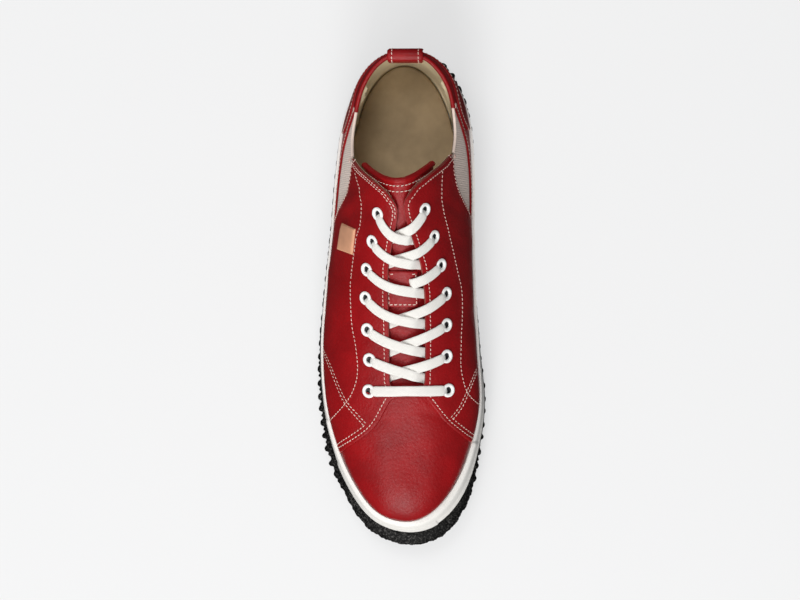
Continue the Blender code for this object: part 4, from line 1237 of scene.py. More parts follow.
def make_insole():
    station = ring_stations(240)
    inset, seat = footbed_inset(station), section(SOLE["seat_z"], station)
    points, faces = closed_rings([sole_points(station, -inset - d, seat + h) for d, h in FOOTBED_EDGE])
    finish_mesh("footbed", points, faces, "insole suede", "insole_tan", ("insole",))


# Stitches ------------

# One stitch: (share of its half length, girth) from end to end.
STITCH_SHAPE = ((-1.0, 0.25), (-0.8, 0.8), (-0.4, 1.0), (0.4, 1.0), (0.8, 0.8), (1.0, 0.25))
STITCH_SIDES = 6
STITCH_SLANT = 0.12
# Shares of the thread's radius: a stitch's flatness, how far it stands out and how far its ends dive.
STITCH_FLAT, STITCH_RISE, STITCH_DIVE = 0.8, 0.55, 1.5
# A bolder stitch, for bar tacks and the tongue's patch, as shares of the plain one.
BOLD = {"pitch": 1.12, "dash": 1.15, "thread": 1.2}
Stitch = namedtuple("Stitch", "pitch dash thread")

SEAM_ROWS = {"twin": 1.0, "outer": 2.2, "facing": 2.6, "facing_twin": 1.2}      # distances from line to row
FACING_ROW = {"front_y": -53.0, "rear_gap": 1.5, "twin_y": 47.0}
GORE_ROW = {"out": 1.7, "clear": 1.5, "foot_z": 33.5}
# The bar tacks at a gore's two ends: y, and how far below the rim.
TACK_PLACES = ((COLLAR["y"][0] - 1.6, 1.8), (GORE_REAR_Y + 1.5, 2.2))
TACK = {"half_length": 1.3, "half_width": 0.9, "stitches": 7, "lift": 0.15}


def stitch_row(trace, lift, looks):
    """Points and faces of one row of stitches laid along a trace."""
    return stitches_along(trace.points(lift), normal(trace.station, trace.rise), looks)


def stitches_along(line, up, looks, slant=STITCH_SLANT):
    """Points and faces of a row of stitches along a line, with the direction away from the leather."""
    spots = even_line(line, looks.pitch / MM)
    middle = (spots[:-1] + spots[1:]) / 2
    index = np.arange(len(line))

    def at(values, where):
        return np.stack([np.interp(where, index, values[:, k]) for k in range(3)], axis=1)

    centre, up = at(line, middle), unit(at(up, middle))
    run = unit(at(line, spots[1:]) - at(line, spots[:-1]))
    side = unit(np.cross(up, run))
    run = unit(run + side * slant)
    side = unit(np.cross(up, run))
    half, radius = looks.dash / MM / 2, looks.thread / MM / 2
    points = []
    for along_share, girth in STITCH_SHAPE:
        rise = radius * (STITCH_RISE - STITCH_DIVE * abs(along_share) ** 4)
        for turn in np.arange(STITCH_SIDES) * 2 * math.pi / STITCH_SIDES:
            wide = math.cos(turn) * radius * girth
            high = math.sin(turn) * radius * girth * STITCH_FLAT + rise
            points.append(centre + run * half * along_share + side * wide + up * high)
    points = np.stack(points, axis=1)
    count, each = points.shape[:2]
    one = [tuple(face) for face in grid_faces(len(STITCH_SHAPE), STITCH_SIDES, close_columns=True)]
    one += [tuple(range(STITCH_SIDES))[::-1], tuple(range(each - STITCH_SIDES, each))]
    faces = [tuple(np.array(face) + k * each) for k in range(count) for face in one]
    return points.reshape(-1, 3), faces


def sew(name, parts):
    finish_parts(name, parts, "sewing thread", "leather_red")


def cut_trace(trace, keep):
    return Trace(trace.station[keep], trace.rise[keep])


def crossing_index(first, second):
    """Where the first trace comes nearest to the second."""
    gap, _ = distance_to(first.points(), second.points())
    return int(np.argmin(gap))


def seam_rows(side, label):
    """The rows on the vamp seam, the eyestay, the crossing overlay and the facing's edge."""
    lines = (smooth_line(SEAMS[f"{kind}_{label}"]) for kind in ("vamp", "stay", "cross"))
    seam, stay, cross = map(Trace.through, lines)
    outer = cut_trace(seam, np.arange(len(seam.station)) >= crossing_index(seam, cross))
    front = float(station_at_y(FACING_ROW["front_y"], side))
    station = np.linspace(front, corner_station(side) - FACING_ROW["rear_gap"] * side, 140)
    edge = Trace(station, top_rise(station))
    twins = [cross.shifted(-SEAM_ROWS["twin"]), cross.shifted(SEAM_ROWS["twin"])]
    second = outer.shifted(SEAM_ROWS["outer"] * side)
    rows = [seam, stay, *twins, second, inside_rim(edge, SEAM_ROWS["facing"])]
    if side < 0:
        rear = cut_trace(edge, last(edge.station, edge.rise)[:, 1] > FACING_ROW["twin_y"])
        rows.append(inside_rim(rear, SEAM_ROWS["facing_twin"]))
    return rows


def gore_rows(side):
    """A row round the gore on the leather that frames it, open along the ankle."""
    line = gore_line()
    tangent = unit(np.gradient(line, axis=0))
    moved = line + GORE_ROW["out"] * np.column_stack((tangent[:, 1], -tangent[:, 0]))
    below = moved[:, 1] < along(COLLAR, "z", moved[:, 0]) - GORE_ROW["clear"]
    moved = moved[below | (moved[:, 0] < COLLAR["y"][0] - GORE_ROW["clear"])]
    y = moved[:, 0] + (MEDIAL_BACK if side > 0 else 0.0)
    return [Trace(*place_on_side(y, np.maximum(moved[:, 1], GORE_ROW["foot_z"]), side))]


def make_seam_stitches(looks):
    rows = [trace for side, label in SIDES for trace in seam_rows(side, label) + gore_rows(side)]
    sew("seam_stitches", [stitch_row(trace, QUARTER_LIFT, looks) for trace in rows])


def make_bar_tacks(looks):
    """A short dense tack at each end of each gore's binding."""
    parts = []
    length = 2 * TACK["half_length"]
    whole = Stitch(length * MM, length * MM, looks.thread * BOLD["thread"])
    for side, (y, drop) in itertools.product((-1, 1), TACK_PLACES):
        station = ankle_station(y, side)
        beside = [station - 0.2, station]
        rise = float(inside_rim(Trace(beside, top_rise(beside)), drop).rise[1])
        place, up = last(station, rise), normal(station, rise)
        run = unit(last(station + 0.5, rise) - last(station - 0.5, rise))
        across = np.cross(up, run) * TACK["half_width"]
        for k in np.linspace(-1.0, 1.0, TACK["stitches"]):
            middle = place + up * (QUARTER_LIFT + TACK["lift"]) + across * k
            line = middle + run * (np.linspace(-1.0, 1.0, 3) * TACK["half_length"])[:, None]
            parts.append(stitches_along(line, np.broadcast_to(up, line.shape), whole, 0.0))
    sew("bar_tacks", parts)


def round_heel(lateral, medial, count):
    """Stations round the heel between two others, both given as degrees from the toe."""
    sweep = np.linspace(lateral, 360.0 - medial, count)
    return np.where(sweep <= 180.0, -sweep, 360.0 - sweep)


def inside_rim(trace, distance):
    """The trace moved down the upper from its top edge."""
    low = np.clip(trace.rise - 0.5, 0.0, 90.0)
    down = last(trace.station, low) - last(trace.station, trace.rise)
    per_degree = np.linalg.norm(down, axis=-1) / 0.5
    along_edge = np.gradient(last(trace.station, trace.rise), axis=0)
    slope = np.abs((unit(down) * unit(along_edge)).sum(axis=-1))
    square = np.sqrt(np.clip(1 - slope**2, 0.15, 1.0))
    return Trace(trace.station, trace.rise - distance / per_degree / square)


# Laces and eyelets ------------


# A ring's height and squareness, how far its barrel goes down, and how far in the dark dish that closes it
# lies, painted shade inside the hole.
EYELET_RING = {"high": 0.85, "square": 0.8, "barrel": 2.6, "dish": 0.55}
# Rings of the dark dish, a sheet of painted shade in the hole: share of its radius and how far each sinks.
EYELET_SHADE_DISH = ((1.0, 0.0), (0.75, 0.35), (0.3, 0.5))


def turned_ring(profile, centre, axis, sides=32):
    """Points and faces of a closed outline of (radius, height) turned about an axis."""
    across = unit(np.cross(axis, (0.0, 1.0, 0.0)))
    other = np.cross(axis, across)
    turn = np.arange(sides) * 2 * math.pi / sides
    outward = np.cos(turn)[:, None] * across + np.sin(turn)[:, None] * other
    radius, height = np.array(profile).T
    points = centre + radius[None, :, None] * outward[:, None, :] + height[None, :, None] * axis
    faces = grid_faces(sides, len(profile), close_rows=True, close_columns=True)
    return points.reshape(-1, 3), [tuple(face) for face in faces]


def turned_shade_dish(radius, depth, centre, up, sides=24):
    """The dark dish that closes the barrel of an eyelet: painted shade inside its hole."""
    first = unit(np.cross(up, (0.0, 1.0, 0.0)))
    second = np.cross(up, first)
    turn = (np.arange(sides) * 2 * math.pi / sides)[:, None]
    outward = first * np.cos(turn) + second * np.sin(turn)
    rings = [centre + up * (depth - sink) + outward * radius * share for share, sink in EYELET_SHADE_DISH]
    faces = [tuple(face)[::-1] for face in grid_faces(len(rings), sides, close_columns=True)]
    return np.concatenate(rings), faces + [tuple(range((len(rings) - 1) * sides, len(rings) * sides))]


def make_eyelets():
    """Rolled rings on the facings, each with a short barrel through it, closed deep down by a dark dish of
    painted shade.
    """
    base = QUARTER_LIFT + 0.05
    middle, half = (EYELET_RADIUS + EYELET_HOLE) / 2, (EYELET_RADIUS - EYELET_HOLE) / 2
    foot = base - EYELET_RING["barrel"]
    high, square = EYELET_RING["high"], EYELET_RING["square"]
    turn = np.linspace(0.0, math.pi, 9)
    profile = [(middle + half * math.cos(a), base + high * math.sin(a) ** square) for a in turn]
    profile += [(EYELET_HOLE, foot), (EYELET_HOLE + 0.4, foot), (EYELET_HOLE + 0.45, base - 0.3),
                (EYELET_RADIUS - 0.2, base - 0.15)]
    for side, label in SIDES:
        places = [place_on_top(x, y) for x, y in eyelet_rows(side)]
        seats = [(last(*place), normal(*place)) for place in places]
        names = [f"eyelet_{label}_{row + 1}" for row in range(len(seats))]
        rings = [turned_ring(profile, *seat) for seat in seats]
        finish_parts(f"eyelets_{label}", rings, "eyelet enamel", "eyelet_white", names)
        # A dark dish deep in each barrel is painted shade for the inside of its hole.
        shade_dishes = [turned_shade_dish(EYELET_HOLE - 0.05, base - EYELET_RING["dish"], *seat) for seat in seats]
        finish_parts(f"eyelet_painted_shades_{label}", shade_dishes, "eyelet barrel", "eyelet_white")


LACE_SECTION = (
    (-1.0, 0.0), (-0.97, 0.5), (-0.85, 0.85), (-0.4, 1.0), (0.0, 0.94), (0.4, 1.0), (0.85, 0.85),
    (0.97, 0.5), (1.0, 0.0), (0.97, -0.5), (0.85, -0.85), (0.0, -1.0), (-0.85, -0.85), (-0.97, -0.5),
)


def tape(centre, up, width, thick, section_shape=LACE_SECTION):
    """A flat woven strip along a line of centres: its points, faces and a map in millimetres."""
    run = unit(np.gradient(centre, axis=0))
    side = unit(np.cross(up, run))
    up = np.cross(run, side)
    across = np.array(section_shape)
    beside = across[:, 0] * width[:, None] / 2
    points = centre[:, None] + side[:, None] * beside[..., None] + up[:, None] * (across[:, 1:] * thick / 2)
    count, each = points.shape[:2]
    faces = [tuple(face) for face in grid_faces(count, each, close_columns=True)]
    faces += [tuple(range(each)), tuple(range((count - 1) * each, count * each))[::-1]]
    flat = np.stack(np.broadcast_arrays(lengths_along(centre)[:, None], beside), axis=2)
    return points.reshape(-1, 3), faces, flat.reshape(-1, 2)


def lace_line(start, end, bend):
    """From an eyelet to the far edge of the throat in plan, dropping most at the eyelet."""
    share = np.linspace(0.0, 1.0, 60) ** 1.3
    fall = bend * (1 - (1 - share) ** 4) + (1 - bend) * share
    return np.column_stack((start[0] + (end[0] - start[0]) * share, start[1] + (end[1] - start[1]) * fall))


def throat_share(plan, far):
    """How far across the throat each place is: 0 on its own edge and 1 on the far one."""
    middle = np.interp(plan[:, 1], LAST["crown_y"], LAST["crown_x"])
    own = half_gap(plan[:, 1], np.full(len(plan), -far))
    there = half_gap(plan[:, 1], np.full(len(plan), far))
    return ((plan[:, 0] - middle) * far + own) / np.maximum(own + there, 1.0)


def crossing_strip(row, side):
    """Plan line and lift of the strip from one eyelet, down to its hidden end below the next one across."""
    kind = "over" if side < 0 else "under"
    start, goal = eyelet_rows(side)[row], eyelet_rows(-side)[row + 1]
    lateral_y = eyelet_rows(-1)[:, 1]
    end_y = start[1] - LACE_DROP[kind][row] * (lateral_y[row] - lateral_y[row + 1])
    middle = np.interp(end_y, LAST["crown_y"], LAST["crown_x"])
    edge = max(float(half_gap(end_y, -side)), 1.5)
    seen = lace_line(start, (middle - side * edge, end_y), LACE_BEND[kind][row])
    hidden = seen[-1] + (goal - seen[-1]) * np.linspace(0.0, 1.0, 14)[1:, None]
    plan = np.concatenate((seen, hidden))
    share = np.where(np.arange(len(plan)) < len(seen), throat_share(plan, -side), 1.0)
    lift = LACE_HEIGHT - LACE_FALL["depth"] * np.clip(share, 0.0, 1.0) ** LACE_FALL[kind]
    if row == LACE_KEEPER["row"] and side > 0:
        lift -= LACE_KEEPER["drop"] * fade(plan[:, 0], LACE_KEEPER["x"], -LACE_KEEPER["over"])
    return plan, lift


def smooth_values(values, passes):
    for _ in range(passes):
        values = np.concatenate((values[:1], (values[:-2] + 2 * values[1:-1] + values[2:]) / 4, values[-1:]))
    return values


def make_laces(looks):
    """Six crossings, the medial strips under the lateral ones, and the straight bar at the toe end."""
    dice = np.random.default_rng(7)
    size = looks.width / MM, looks.thick / MM
    for row in range(6):
        under_plan, under_lift = crossing_strip(row, 1)
        over_plan, over_lift = crossing_strip(row, -1)
        gap, where = distance_to(over_plan, under_plan)
        rest = np.interp(where, np.arange(len(under_plan)), under_lift) + size[1] + LACE_COVER["gap"]
        cover = 1 - fade(gap, LACE_COVER["within"], LACE_COVER["fade"])
        over_lift = np.maximum(over_lift, over_lift + cover * (rest - over_lift))
        strips = [(under_plan, under_lift), (over_plan, over_lift)]
        build_strips(f"lace_{row + 1}", strips, size, dice, [f"lace_cross_{row + 1}"])
    lateral, medial = (eyelet_rows(side)[-1] for side in (-1, 1))
    plan = lateral + (medial - lateral) * np.linspace(0.0, 1.0, 50)[:, None]
    bar = [(plan, np.full(len(plan), LACE_HEIGHT))]
    build_strips("lace_straight", bar, size, dice, ["lace_bar"], both=True)


def build_strips(name, strips, size, dice, replaced, both=False):
    """Flat, slightly uneven strips that come out of their eyelets low and narrow, at one end or both."""
    parts, maps = [], []
    for plan, lift in strips:
        walk = lengths_along(plan)
        away = np.minimum(walk, walk[-1] - walk) if both else walk
        leaving = fade(away, 0.0, LACE_LEAVE["length"])
        lift = smooth_values(lift, 6) - LACE_LEAVE["dive"] * (1 - leaving) ** 3
        lift += uneven(walk, 9, LACE_PLAY["lift"], dice) * leaving
        width = size[0] * (1 - LACE_LEAVE["pinch"] + LACE_LEAVE["pinch"] * leaving**0.7)
        station, rise = place_on_top(plan[:, 0], plan[:, 1])
        base, up = last(station, rise), normal(station, rise)
        tilt = uneven(walk, 5, LACE_PLAY["tilt"], dice)
        tilted = unit(up + np.cross(up, unit(np.gradient(base, axis=0))) * tilt[:, None])
        points, faces, flat = tape(base + up * lift[:, None], tilted, width, size[1])
        parts.append((points, faces))
        maps.append(flat)
    piece = finish_parts(name, parts, "lace cotton", "lace_white", replaced)
    write_map(piece, np.concatenate(maps))


def uneven(walk, count, most, dice):
    """A random rise and fall along a strip, from this many throws of the dice."""
    return np.interp(walk, np.linspace(0, walk[-1], count), dice.uniform(-most, most, count))


# Tongue, tab, patch and tag ------------


def tongue_point(share, step, depth):
    """A point of the tongue: share runs across from -1 to 1, step from its toe end to its top."""
    y = TONGUE["y"][0] + (TONGUE_TOP_Y - TONGUE["y"][0]) * step
    y = y + TONGUE_EAR * step**2 * share**2
    middle = np.interp(y, LAST["crown_y"], LAST["crown_x"])
    x = middle + share * along(TONGUE, "half_width", y) - TONGUE_ASIDE * step**6
    station, rise = place_on_top(x, y)
    return skin(station, rise, -(along(TONGUE, "drop", y) + depth))


def across_tongue(reach, below_top, depth, count=120):
    """A line across the tongue this far below its top, with the direction out of its face."""
    share = np.linspace(-reach, reach, count)
    step = np.full(count, 1.0 - below_top / (TONGUE_TOP_Y - TONGUE["y"][0]))
    line = tongue_point(share, step, depth)
    return line, unit(tongue_point(share, step, depth - 1.0) - line)


def make_tongue():
    """The padded tongue and the rolled rim along its top."""
    rows, columns = 90, 44
    step = np.linspace(0.0, 1.0, rows)[:, None]
    turn = np.linspace(0.0, 2 * math.pi, columns + 1)[:-1][None, :]
    share = np.cos(turn)
    share = np.sign(share) * np.abs(share) ** 0.8
    rounding = fade(step, TONGUE_ROUND_FROM, 1.0 - TONGUE_ROUND_FROM)
    end = np.minimum(1.0, np.sqrt(1 - rounding**2) + 0.12)
    thick = TONGUE_HALF_THICK * np.abs(np.sin(turn)) ** 0.45 * np.sign(np.sin(turn)) * end
    share, step, thick = np.broadcast_arrays(share, step, thick)
    points = tongue_point(share, step, TONGUE_DEPTH - thick).reshape(-1, 3)
    faces = [tuple(face) for face in grid_faces(rows, columns, close_columns=True)]
    faces += [tuple(range(columns)), tuple(range((rows - 1) * columns, rows * columns))[::-1]]
    piece = finish_mesh("tongue_leather", points, faces, "red leather", "leather_red", ("tongue",))
    centre, up = across_tongue(**TONGUE_RIM)
    turn = np.linspace(0.0, 2 * math.pi, 15)[:-1]
    width, thick = TONGUE_RIM_SIZE
    shape = list(zip(np.cos(turn), np.sin(turn)))
    points, faces, _ = tape(centre, up, np.full(len(centre), width), thick, shape)
    finish_mesh("tongue_rim", points, faces, "red leather", "leather_red")


def make_heel_patch(looks):
    """The patch over the heel counter and the row of stitches along its top."""
    patch = upper_grid()
    patch.keep(patch.add_field(np.abs(patch.values[:, 0]) - HEEL_PATCH["first_station"]))
    first = float(station_at_y(HEEL_PATCH["y"][0], 1))
    station = round_heel(first, first, 160)
    medial = np.minimum(station + HEEL_PATCH["medial_shift"] * fade(station, 180.0, -30.0), 180.0)
    station = np.where(station > 0, medial, station)
    height = along(HEEL_PATCH, "top_z", feather(station)[:, 1] - back_of(station))
    edge = Trace(station, rise_at_height(station, height))
    ends = [Trace(np.full(12, station[k]), np.linspace(0.0, 1.0, 12) * edge.rise[k]) for k in (0, -1)]
    outline = np.concatenate((ends[0].points(), edge.points(), ends[1].points()[::-1]))
    points = patch.points()
    gap, _ = distance_to(points, outline)
    y = points[:, 1] - back_of(patch.values[:, 0])
    inside = (points[:, 2] < along(HEEL_PATCH, "top_z", y)) & (y > HEEL_PATCH["y"][0])
    field = patch.add_field(np.where(inside, gap, -gap))
    for level in CUT_LEVELS:
        patch.split(field, level)
    patch.keep(field)
    face = HEEL_PATCH["proud"] * round_over(patch.values[:, field])
    points = patch.lifted(QUARTER_LIFT - HEEL_PATCH["sunk"] + face)
    finish_mesh("heel_patch", points, patch.triangles, "red leather", "leather_red", ("heel_counter",), WELD)
    row_lift = QUARTER_LIFT - HEEL_PATCH["sunk"] + HEEL_PATCH["proud"]
    sew("heel_patch_stitches", [stitch_row(inside_rim(edge, HEEL_PATCH["row"]), row_lift, looks)])


def plate(name, corners, base, thick, material, slot, replaces=()):
    """A thin plate with rounded edges over the last, from four corners seen from above."""
    corners = [np.array(corner, float) for corner in corners]
    across, down = (0.5 - 0.5 * np.cos(math.pi * np.linspace(0.0, 1.0, count)) for count in (19, 21))
    top = corners[0] + (corners[1] - corners[0]) * across[:, None]
    bottom = corners[3] + (corners[2] - corners[3]) * across[:, None]
    plan = top[:, None] + (bottom - top)[:, None] * down[None, :, None]
    station, rise = place_on_top(plan[..., 0], plan[..., 1])
    in_across = np.minimum(across, 1 - across) * np.linalg.norm(corners[1] - corners[0])
    in_down = np.minimum(down, 1 - down) * np.linalg.norm(corners[3] - corners[0])
    face = round_over(np.minimum(in_across[:, None], in_down[None, :]))
    lifts = base, base + thick * (PLATE_RIM + (1 - PLATE_RIM) * face)
    points = np.stack([skin(station, rise, lift) for lift in lifts])
    rows, columns = station.shape
    sheet = grid_faces(rows, columns)
    faces = [tuple(f[::-1]) for f in sheet] + [tuple(f + rows * columns) for f in sheet]
    rim = [k * columns for k in range(rows)] + [(rows - 1) * columns + k for k in range(1, columns)]
    rim += [k * columns + columns - 1 for k in range(rows - 2, -1, -1)] + list(range(columns - 2, 0, -1))
    for a, b in zip(rim, rim[1:] + rim[:1]):
        faces.append((a, b, b + rows * columns, a + rows * columns))
    finish_mesh(name, points.reshape(-1, 3), faces, material, slot, replaces)


def make_tag():
    plate("side_tag", TAG_CORNERS, QUARTER_LIFT - 0.1, TAG_THICK, "tag leather", "tag_leather", ("tag",))


def make_tongue_patch(looks):
    """The patch sewn to the tongue between the facings, where the lace passes, and the rows below the rim."""
    (x0, x1), (y0, y1) = TONGUE_PATCH["x"], TONGUE_PATCH["y"]
    corners = (x0, y1), (x1, y1), (x1, y0), (x0, y0)
    plate("tongue_patch", corners, TONGUE_FACE + 0.1, TONGUE_PATCH["thick"], "red leather", "leather_red")
    left, right = x0 + TONGUE_PATCH["margin_x"], x1 - TONGUE_PATCH["margin_x"]
    low, high = y0 + TONGUE_PATCH["margin_y"][0], y1 - TONGUE_PATCH["margin_y"][1]
    rows = (((left, low), (right, low)), ((left, low), (left, high)), ((right, low), (right, high)),
            ((left, high), (left + TONGUE_TACKS[0], high)), ((right - TONGUE_TACKS[1], high), (right, high)))
    bold = Stitch(*(getattr(looks, size) * BOLD[size] for size in Stitch._fields))
    traces = [Trace.through(np.linspace(start, end, 24)) for start, end in rows]
    parts = [stitch_row(trace, TONGUE_FACE + 0.05 + TONGUE_PATCH["thick"], bold) for trace in traces]
    rim_rows = (across_tongue(**TONGUE_ROW, below_top=below, count=90) for below in TONGUE_ROWS)
    parts += [stitches_along(line, up, looks) for line, up in rim_rows]
    sew("tongue_stitches", parts)


def make_pull_tab(looks):
    """The leather tab folded over the collar at the heel, sewn down along both its edges."""
    back = last(180.0, top_rise(180.0))
    station = np.linspace(150.0, 180.0, 60)
    rim = last(station, top_rise(station))
    outer = back[1] + 1.0
    inner = float(np.interp(-TAB["half_width"], -(rim[:, 0] - back[0]), rim[:, 1])) - 2.6
    behind = [last(180.0, rise_at_height(180.0, back[2] - drop))[1] for drop in TAB["drops"]]
    keys = [(y + QUARTER_LIFT + 0.75, back[2] - drop) for y, drop in zip(behind, TAB["drops"])]
    keys += [(outer + 0.1, back[2] - 0.6), (outer - 0.5, back[2] + 1.1), (outer - 1.8, back[2] + 2.0),
             ((outer + inner) / 2, back[2] + 2.3), (inner + 1.6, back[2] + 1.8), (inner + 0.4, back[2] + 0.7),
             (inner, back[2] - 1.5), (inner + 0.2, back[2] - 6.0), (inner + 0.1, back[2] - 11.0)]
    line = smooth_line(keys, 0.5)
    tangent = unit(np.gradient(line, axis=0))
    up = np.column_stack((np.zeros(len(line)), tangent[:, 1], -tangent[:, 0]))
    centre = np.column_stack((np.full(len(line), back[0]), line))
    across = np.linspace(-1.0, 1.0, 25)
    round_off = np.sqrt(1 - fade(np.abs(across), TAB["round_from"], 1.0 - TAB["round_from"]) ** 2)
    shape = list(zip(across, round_off)) + list(zip(across[-2:0:-1], -round_off[-2:0:-1]))
    points, faces, _ = tape(centre, up, np.full(len(line), 2 * TAB["half_width"]), TAB["thick"], shape)
    finish_mesh("heel_tab", points, faces, "red leather", "leather_red", ("pull_tab",))
    face = (centre + up * (TAB["thick"] / 2 - 0.03))[2:-2]
    rows = [face + (side * TAB["row_x"], 0.0, 0.0) for side in (-1, 1)]
    sew("tab_stitches", [stitches_along(row, up[2:-2], looks) for row in rows])


# Stage ------------


SOFTBOXES = (               # name, place in metres, edge in metres, share of the power
    ("toe softbox", (-0.6, -1.0, 1.9), 0.62, 0.45),
    ("heel softbox", (-0.5, 1.0, 2.0), 1.2, 1.05),
    ("front softbox", (-0.12, -2.0, 1.4), 1.0, 2.4),
)
FLOOR_HALF_EDGE = 3.0
SKY = (0.94, 0.96, 1.0)
REFLECTED = 0.02            # how bright the floor and the surroundings are in reflections
CAMERA_PLACE = (0.0622, 0.0035, 1.6)
CAMERA_TARGET = (0.0, 0.0, 0.04)
CAMERA_LENS, CAMERA_SENSOR = 118.0, 36.0


def make_floor(stage):
    """A wide floor that looks evenly lit from above and stays dark in reflections."""
    mesh = bpy.data.meshes.new("floor")
    edge = FLOOR_HALF_EDGE
    corners = [(-edge, -edge, 0), (edge, -edge, 0), (edge, edge, 0), (-edge, edge, 0)]
    mesh.from_pydata(corners, [], [(0, 1, 2, 3)])
    made, tree, shader = new_material("pale floor", 0.9)
    rays = node(tree, "LightPath").outputs
    pale = blend_colour(tree, rays["Is Glossy Ray"], (*stage.floor, 1.0), (*[REFLECTED] * 3, 1.0))
    feed(tree, shader.inputs["Base Color"], pale)
    shader.inputs["Emission Color"].default_value = (1.0, 1.0, 1.0, 1.0)
    feed(tree, shader.inputs["Emission Strength"], maths(tree, "MULTIPLY", rays["Is Camera Ray"], stage.glow))
    mesh.materials.append(made)
    ground = add_to_scene("floor", mesh)


def make_lights(stage):
    for name, place, size, power in SOFTBOXES:
        lamp = bpy.data.lights.new(name, "AREA")
        lamp.size = size
        lamp.energy = power * stage.light
        holder = add_to_scene(name, lamp)
        holder.location = place
        holder.rotation_euler = (-Vector(place)).to_track_quat("-Z", "Y").to_euler()
    world = bpy.data.worlds.new("studio")
    world.use_nodes = True
    tree = world.node_tree
    sky = tree.nodes["Background"]
    sky.inputs["Color"].default_value = (*SKY, 1.0)
    glossy = node(tree, "LightPath").outputs["Is Glossy Ray"]
    feed(tree, sky.inputs["Strength"], remap(tree, glossy, 0.0, 1.0, stage.surround, REFLECTED))
    bpy.context.scene.world = world


def make_camera():
    """A camera above the shoe, its toe towards the bottom of the view."""
    camera = bpy.data.cameras.new("camera")
    camera.lens = CAMERA_LENS
    camera.sensor_width = CAMERA_SENSOR
    holder = add_to_scene("camera", camera)
    holder.location = CAMERA_PLACE
    back = (Vector(CAMERA_PLACE) - Vector(CAMERA_TARGET)).normalized()
    right = Vector((0.0, 1.0, 0.0)).cross(back).normalized()
    holder.rotation_euler = Matrix((right, back.cross(right), back)).transposed().to_euler()
    bpy.context.scene.camera = holder


def make_stage(stage):
    make_floor(stage)
    make_lights(stage)
    make_camera()
    bpy.context.scene.view_settings.view_transform = "Standard"


# Add-on ------------


def length(name, description, default):
    return FloatProperty(name=name, description=description, default=default, unit="LENGTH", precision=5)


def shade(name, description, default):
    return FloatVectorProperty(name=name, description=description, default=default, subtype="COLOR", size=3,
                               min=0.0, max=1.0)


def amount(name, description, default):
    return FloatProperty(name=name, description=description, default=default, min=0.0)


class SneakerUpper(bpy.types.PropertyGroup):
    leather: shade("Leather", "Colour of the upper's leather", (0.31, 0.002, 0.004))
    lining: shade("Lining", "Colour of the lining", colour(236, 219, 182)[:3])
    # Cream warmed towards red: partly the elastic's own colour, partly a painted reflection of the red
    # leather beside it.
    elastic: shade("Elastic", "Colour of the gores", colour(240, 218, 203)[:3])
    tag: shade("Tag", "Colour of the side tag", colour(230, 169, 132)[:3])
    pitch: length("Stitch pitch", "Distance from one stitch to the next", 0.0025)
    dash: length("Stitch length", "Length of one stitch on the surface", 0.0018)
    thread: length("Thread", "Diameter of the sewing thread", 0.00052)


class SneakerLace(bpy.types.PropertyGroup):
    cotton: shade("Cotton", "Colour of the lace", (0.87, 0.845, 0.79))
    width: length("Width", "Width of the flat lace", 0.0062)
    thick: length("Thickness", "Thickness of the flat lace", 0.0012)


class SneakerSole(bpy.types.PropertyGroup):
    foxing: shade("Foxing", "Colour of the band round the sole", colour(236, 233, 227)[:3])
    rubber: shade("Rubber", "Colour of the outsole", colour(8, 8, 8)[:3])
    insole: shade("Insole", "Colour of the insole", colour(192, 168, 132)[:3])
    lug_pitch: length("Lug pitch", "Distance from one lug of the rolled edge to the next", 0.0078)
    lug_proud: length("Lug height", "How far the lugs stand out from the rolled edge", 0.0015)


class SneakerStage(bpy.types.PropertyGroup):
    floor: shade("Floor", "Colour of the studio floor", (0.28, 0.28, 0.28))
    light: amount("Light", "Watts that the softboxes' shares are taken of", 18.6)
    glow: amount("Glow", "How bright the floor is by itself", 0.57)
    surround: amount("Surround", "Strength of the light from all round", 0.3)


class SNEAKER_OT_finishes(bpy.types.Operator):
    """Makes the node groups and every finish"""

    bl_idname = "sneaker.finishes"
    bl_label = "Finishes"

    def execute(self, context):
        scene = context.scene
        make_materials(scene.sneaker_upper, scene.sneaker_lace, scene.sneaker_sole)
        return {"FINISHED"}


class SNEAKER_OT_vamp(bpy.types.Operator):
    """Builds the vamp, which runs on under the quarters' front edges"""

    bl_idname = "sneaker.vamp"
    bl_label = "Vamp"

    def execute(self, context):
        make_vamp()
        return {"FINISHED"}


class SNEAKER_OT_quarters(bpy.types.Operator):
    """Builds the quarters with their facings, cut out at the gores and eyelets"""

    bl_idname = "sneaker.quarters"
    bl_label = "Quarters"

    def execute(self, context):
        make_quarters()
        return {"FINISHED"}


class SNEAKER_OT_lining(bpy.types.Operator):
    """Builds the lining inside the upper"""

    bl_idname = "sneaker.lining"
    bl_label = "Lining"

    def execute(self, context):
        make_lining()
        return {"FINISHED"}


class SNEAKER_OT_edges(bpy.types.Operator):
    """Builds the facings' cut edges, the gores' bindings and the collar band"""

    bl_idname = "sneaker.edges"
    bl_label = "Edges and bindings"

    def execute(self, context):
        make_rims()
        return {"FINISHED"}


class SNEAKER_OT_gores(bpy.types.Operator):
    """Builds the ribbed elastic gores at the ankle"""

    bl_idname = "sneaker.gores"
    bl_label = "Elastic gores"

    def execute(self, context):
        make_gores()
        return {"FINISHED"}


class SNEAKER_OT_seams(bpy.types.Operator):
    """Sews every row of stitches on the upper"""

    bl_idname = "sneaker.seams"
    bl_label = "Stitching"

    def execute(self, context):
        make_seam_stitches(context.scene.sneaker_upper)
        make_bar_tacks(context.scene.sneaker_upper)
        return {"FINISHED"}


class SNEAKER_OT_tongue(bpy.types.Operator):
    """Builds the padded tongue, its patch and its stitches"""

    bl_idname = "sneaker.tongue"
    bl_label = "Tongue"

    def execute(self, context):
        make_tongue()
        make_tongue_patch(context.scene.sneaker_upper)
        return {"FINISHED"}


class SNEAKER_OT_eyelets(bpy.types.Operator):
    """Sets the enamelled eyelets in the facings"""

    bl_idname = "sneaker.eyelets"
    bl_label = "Eyelets"

    def execute(self, context):
        make_eyelets()
        return {"FINISHED"}


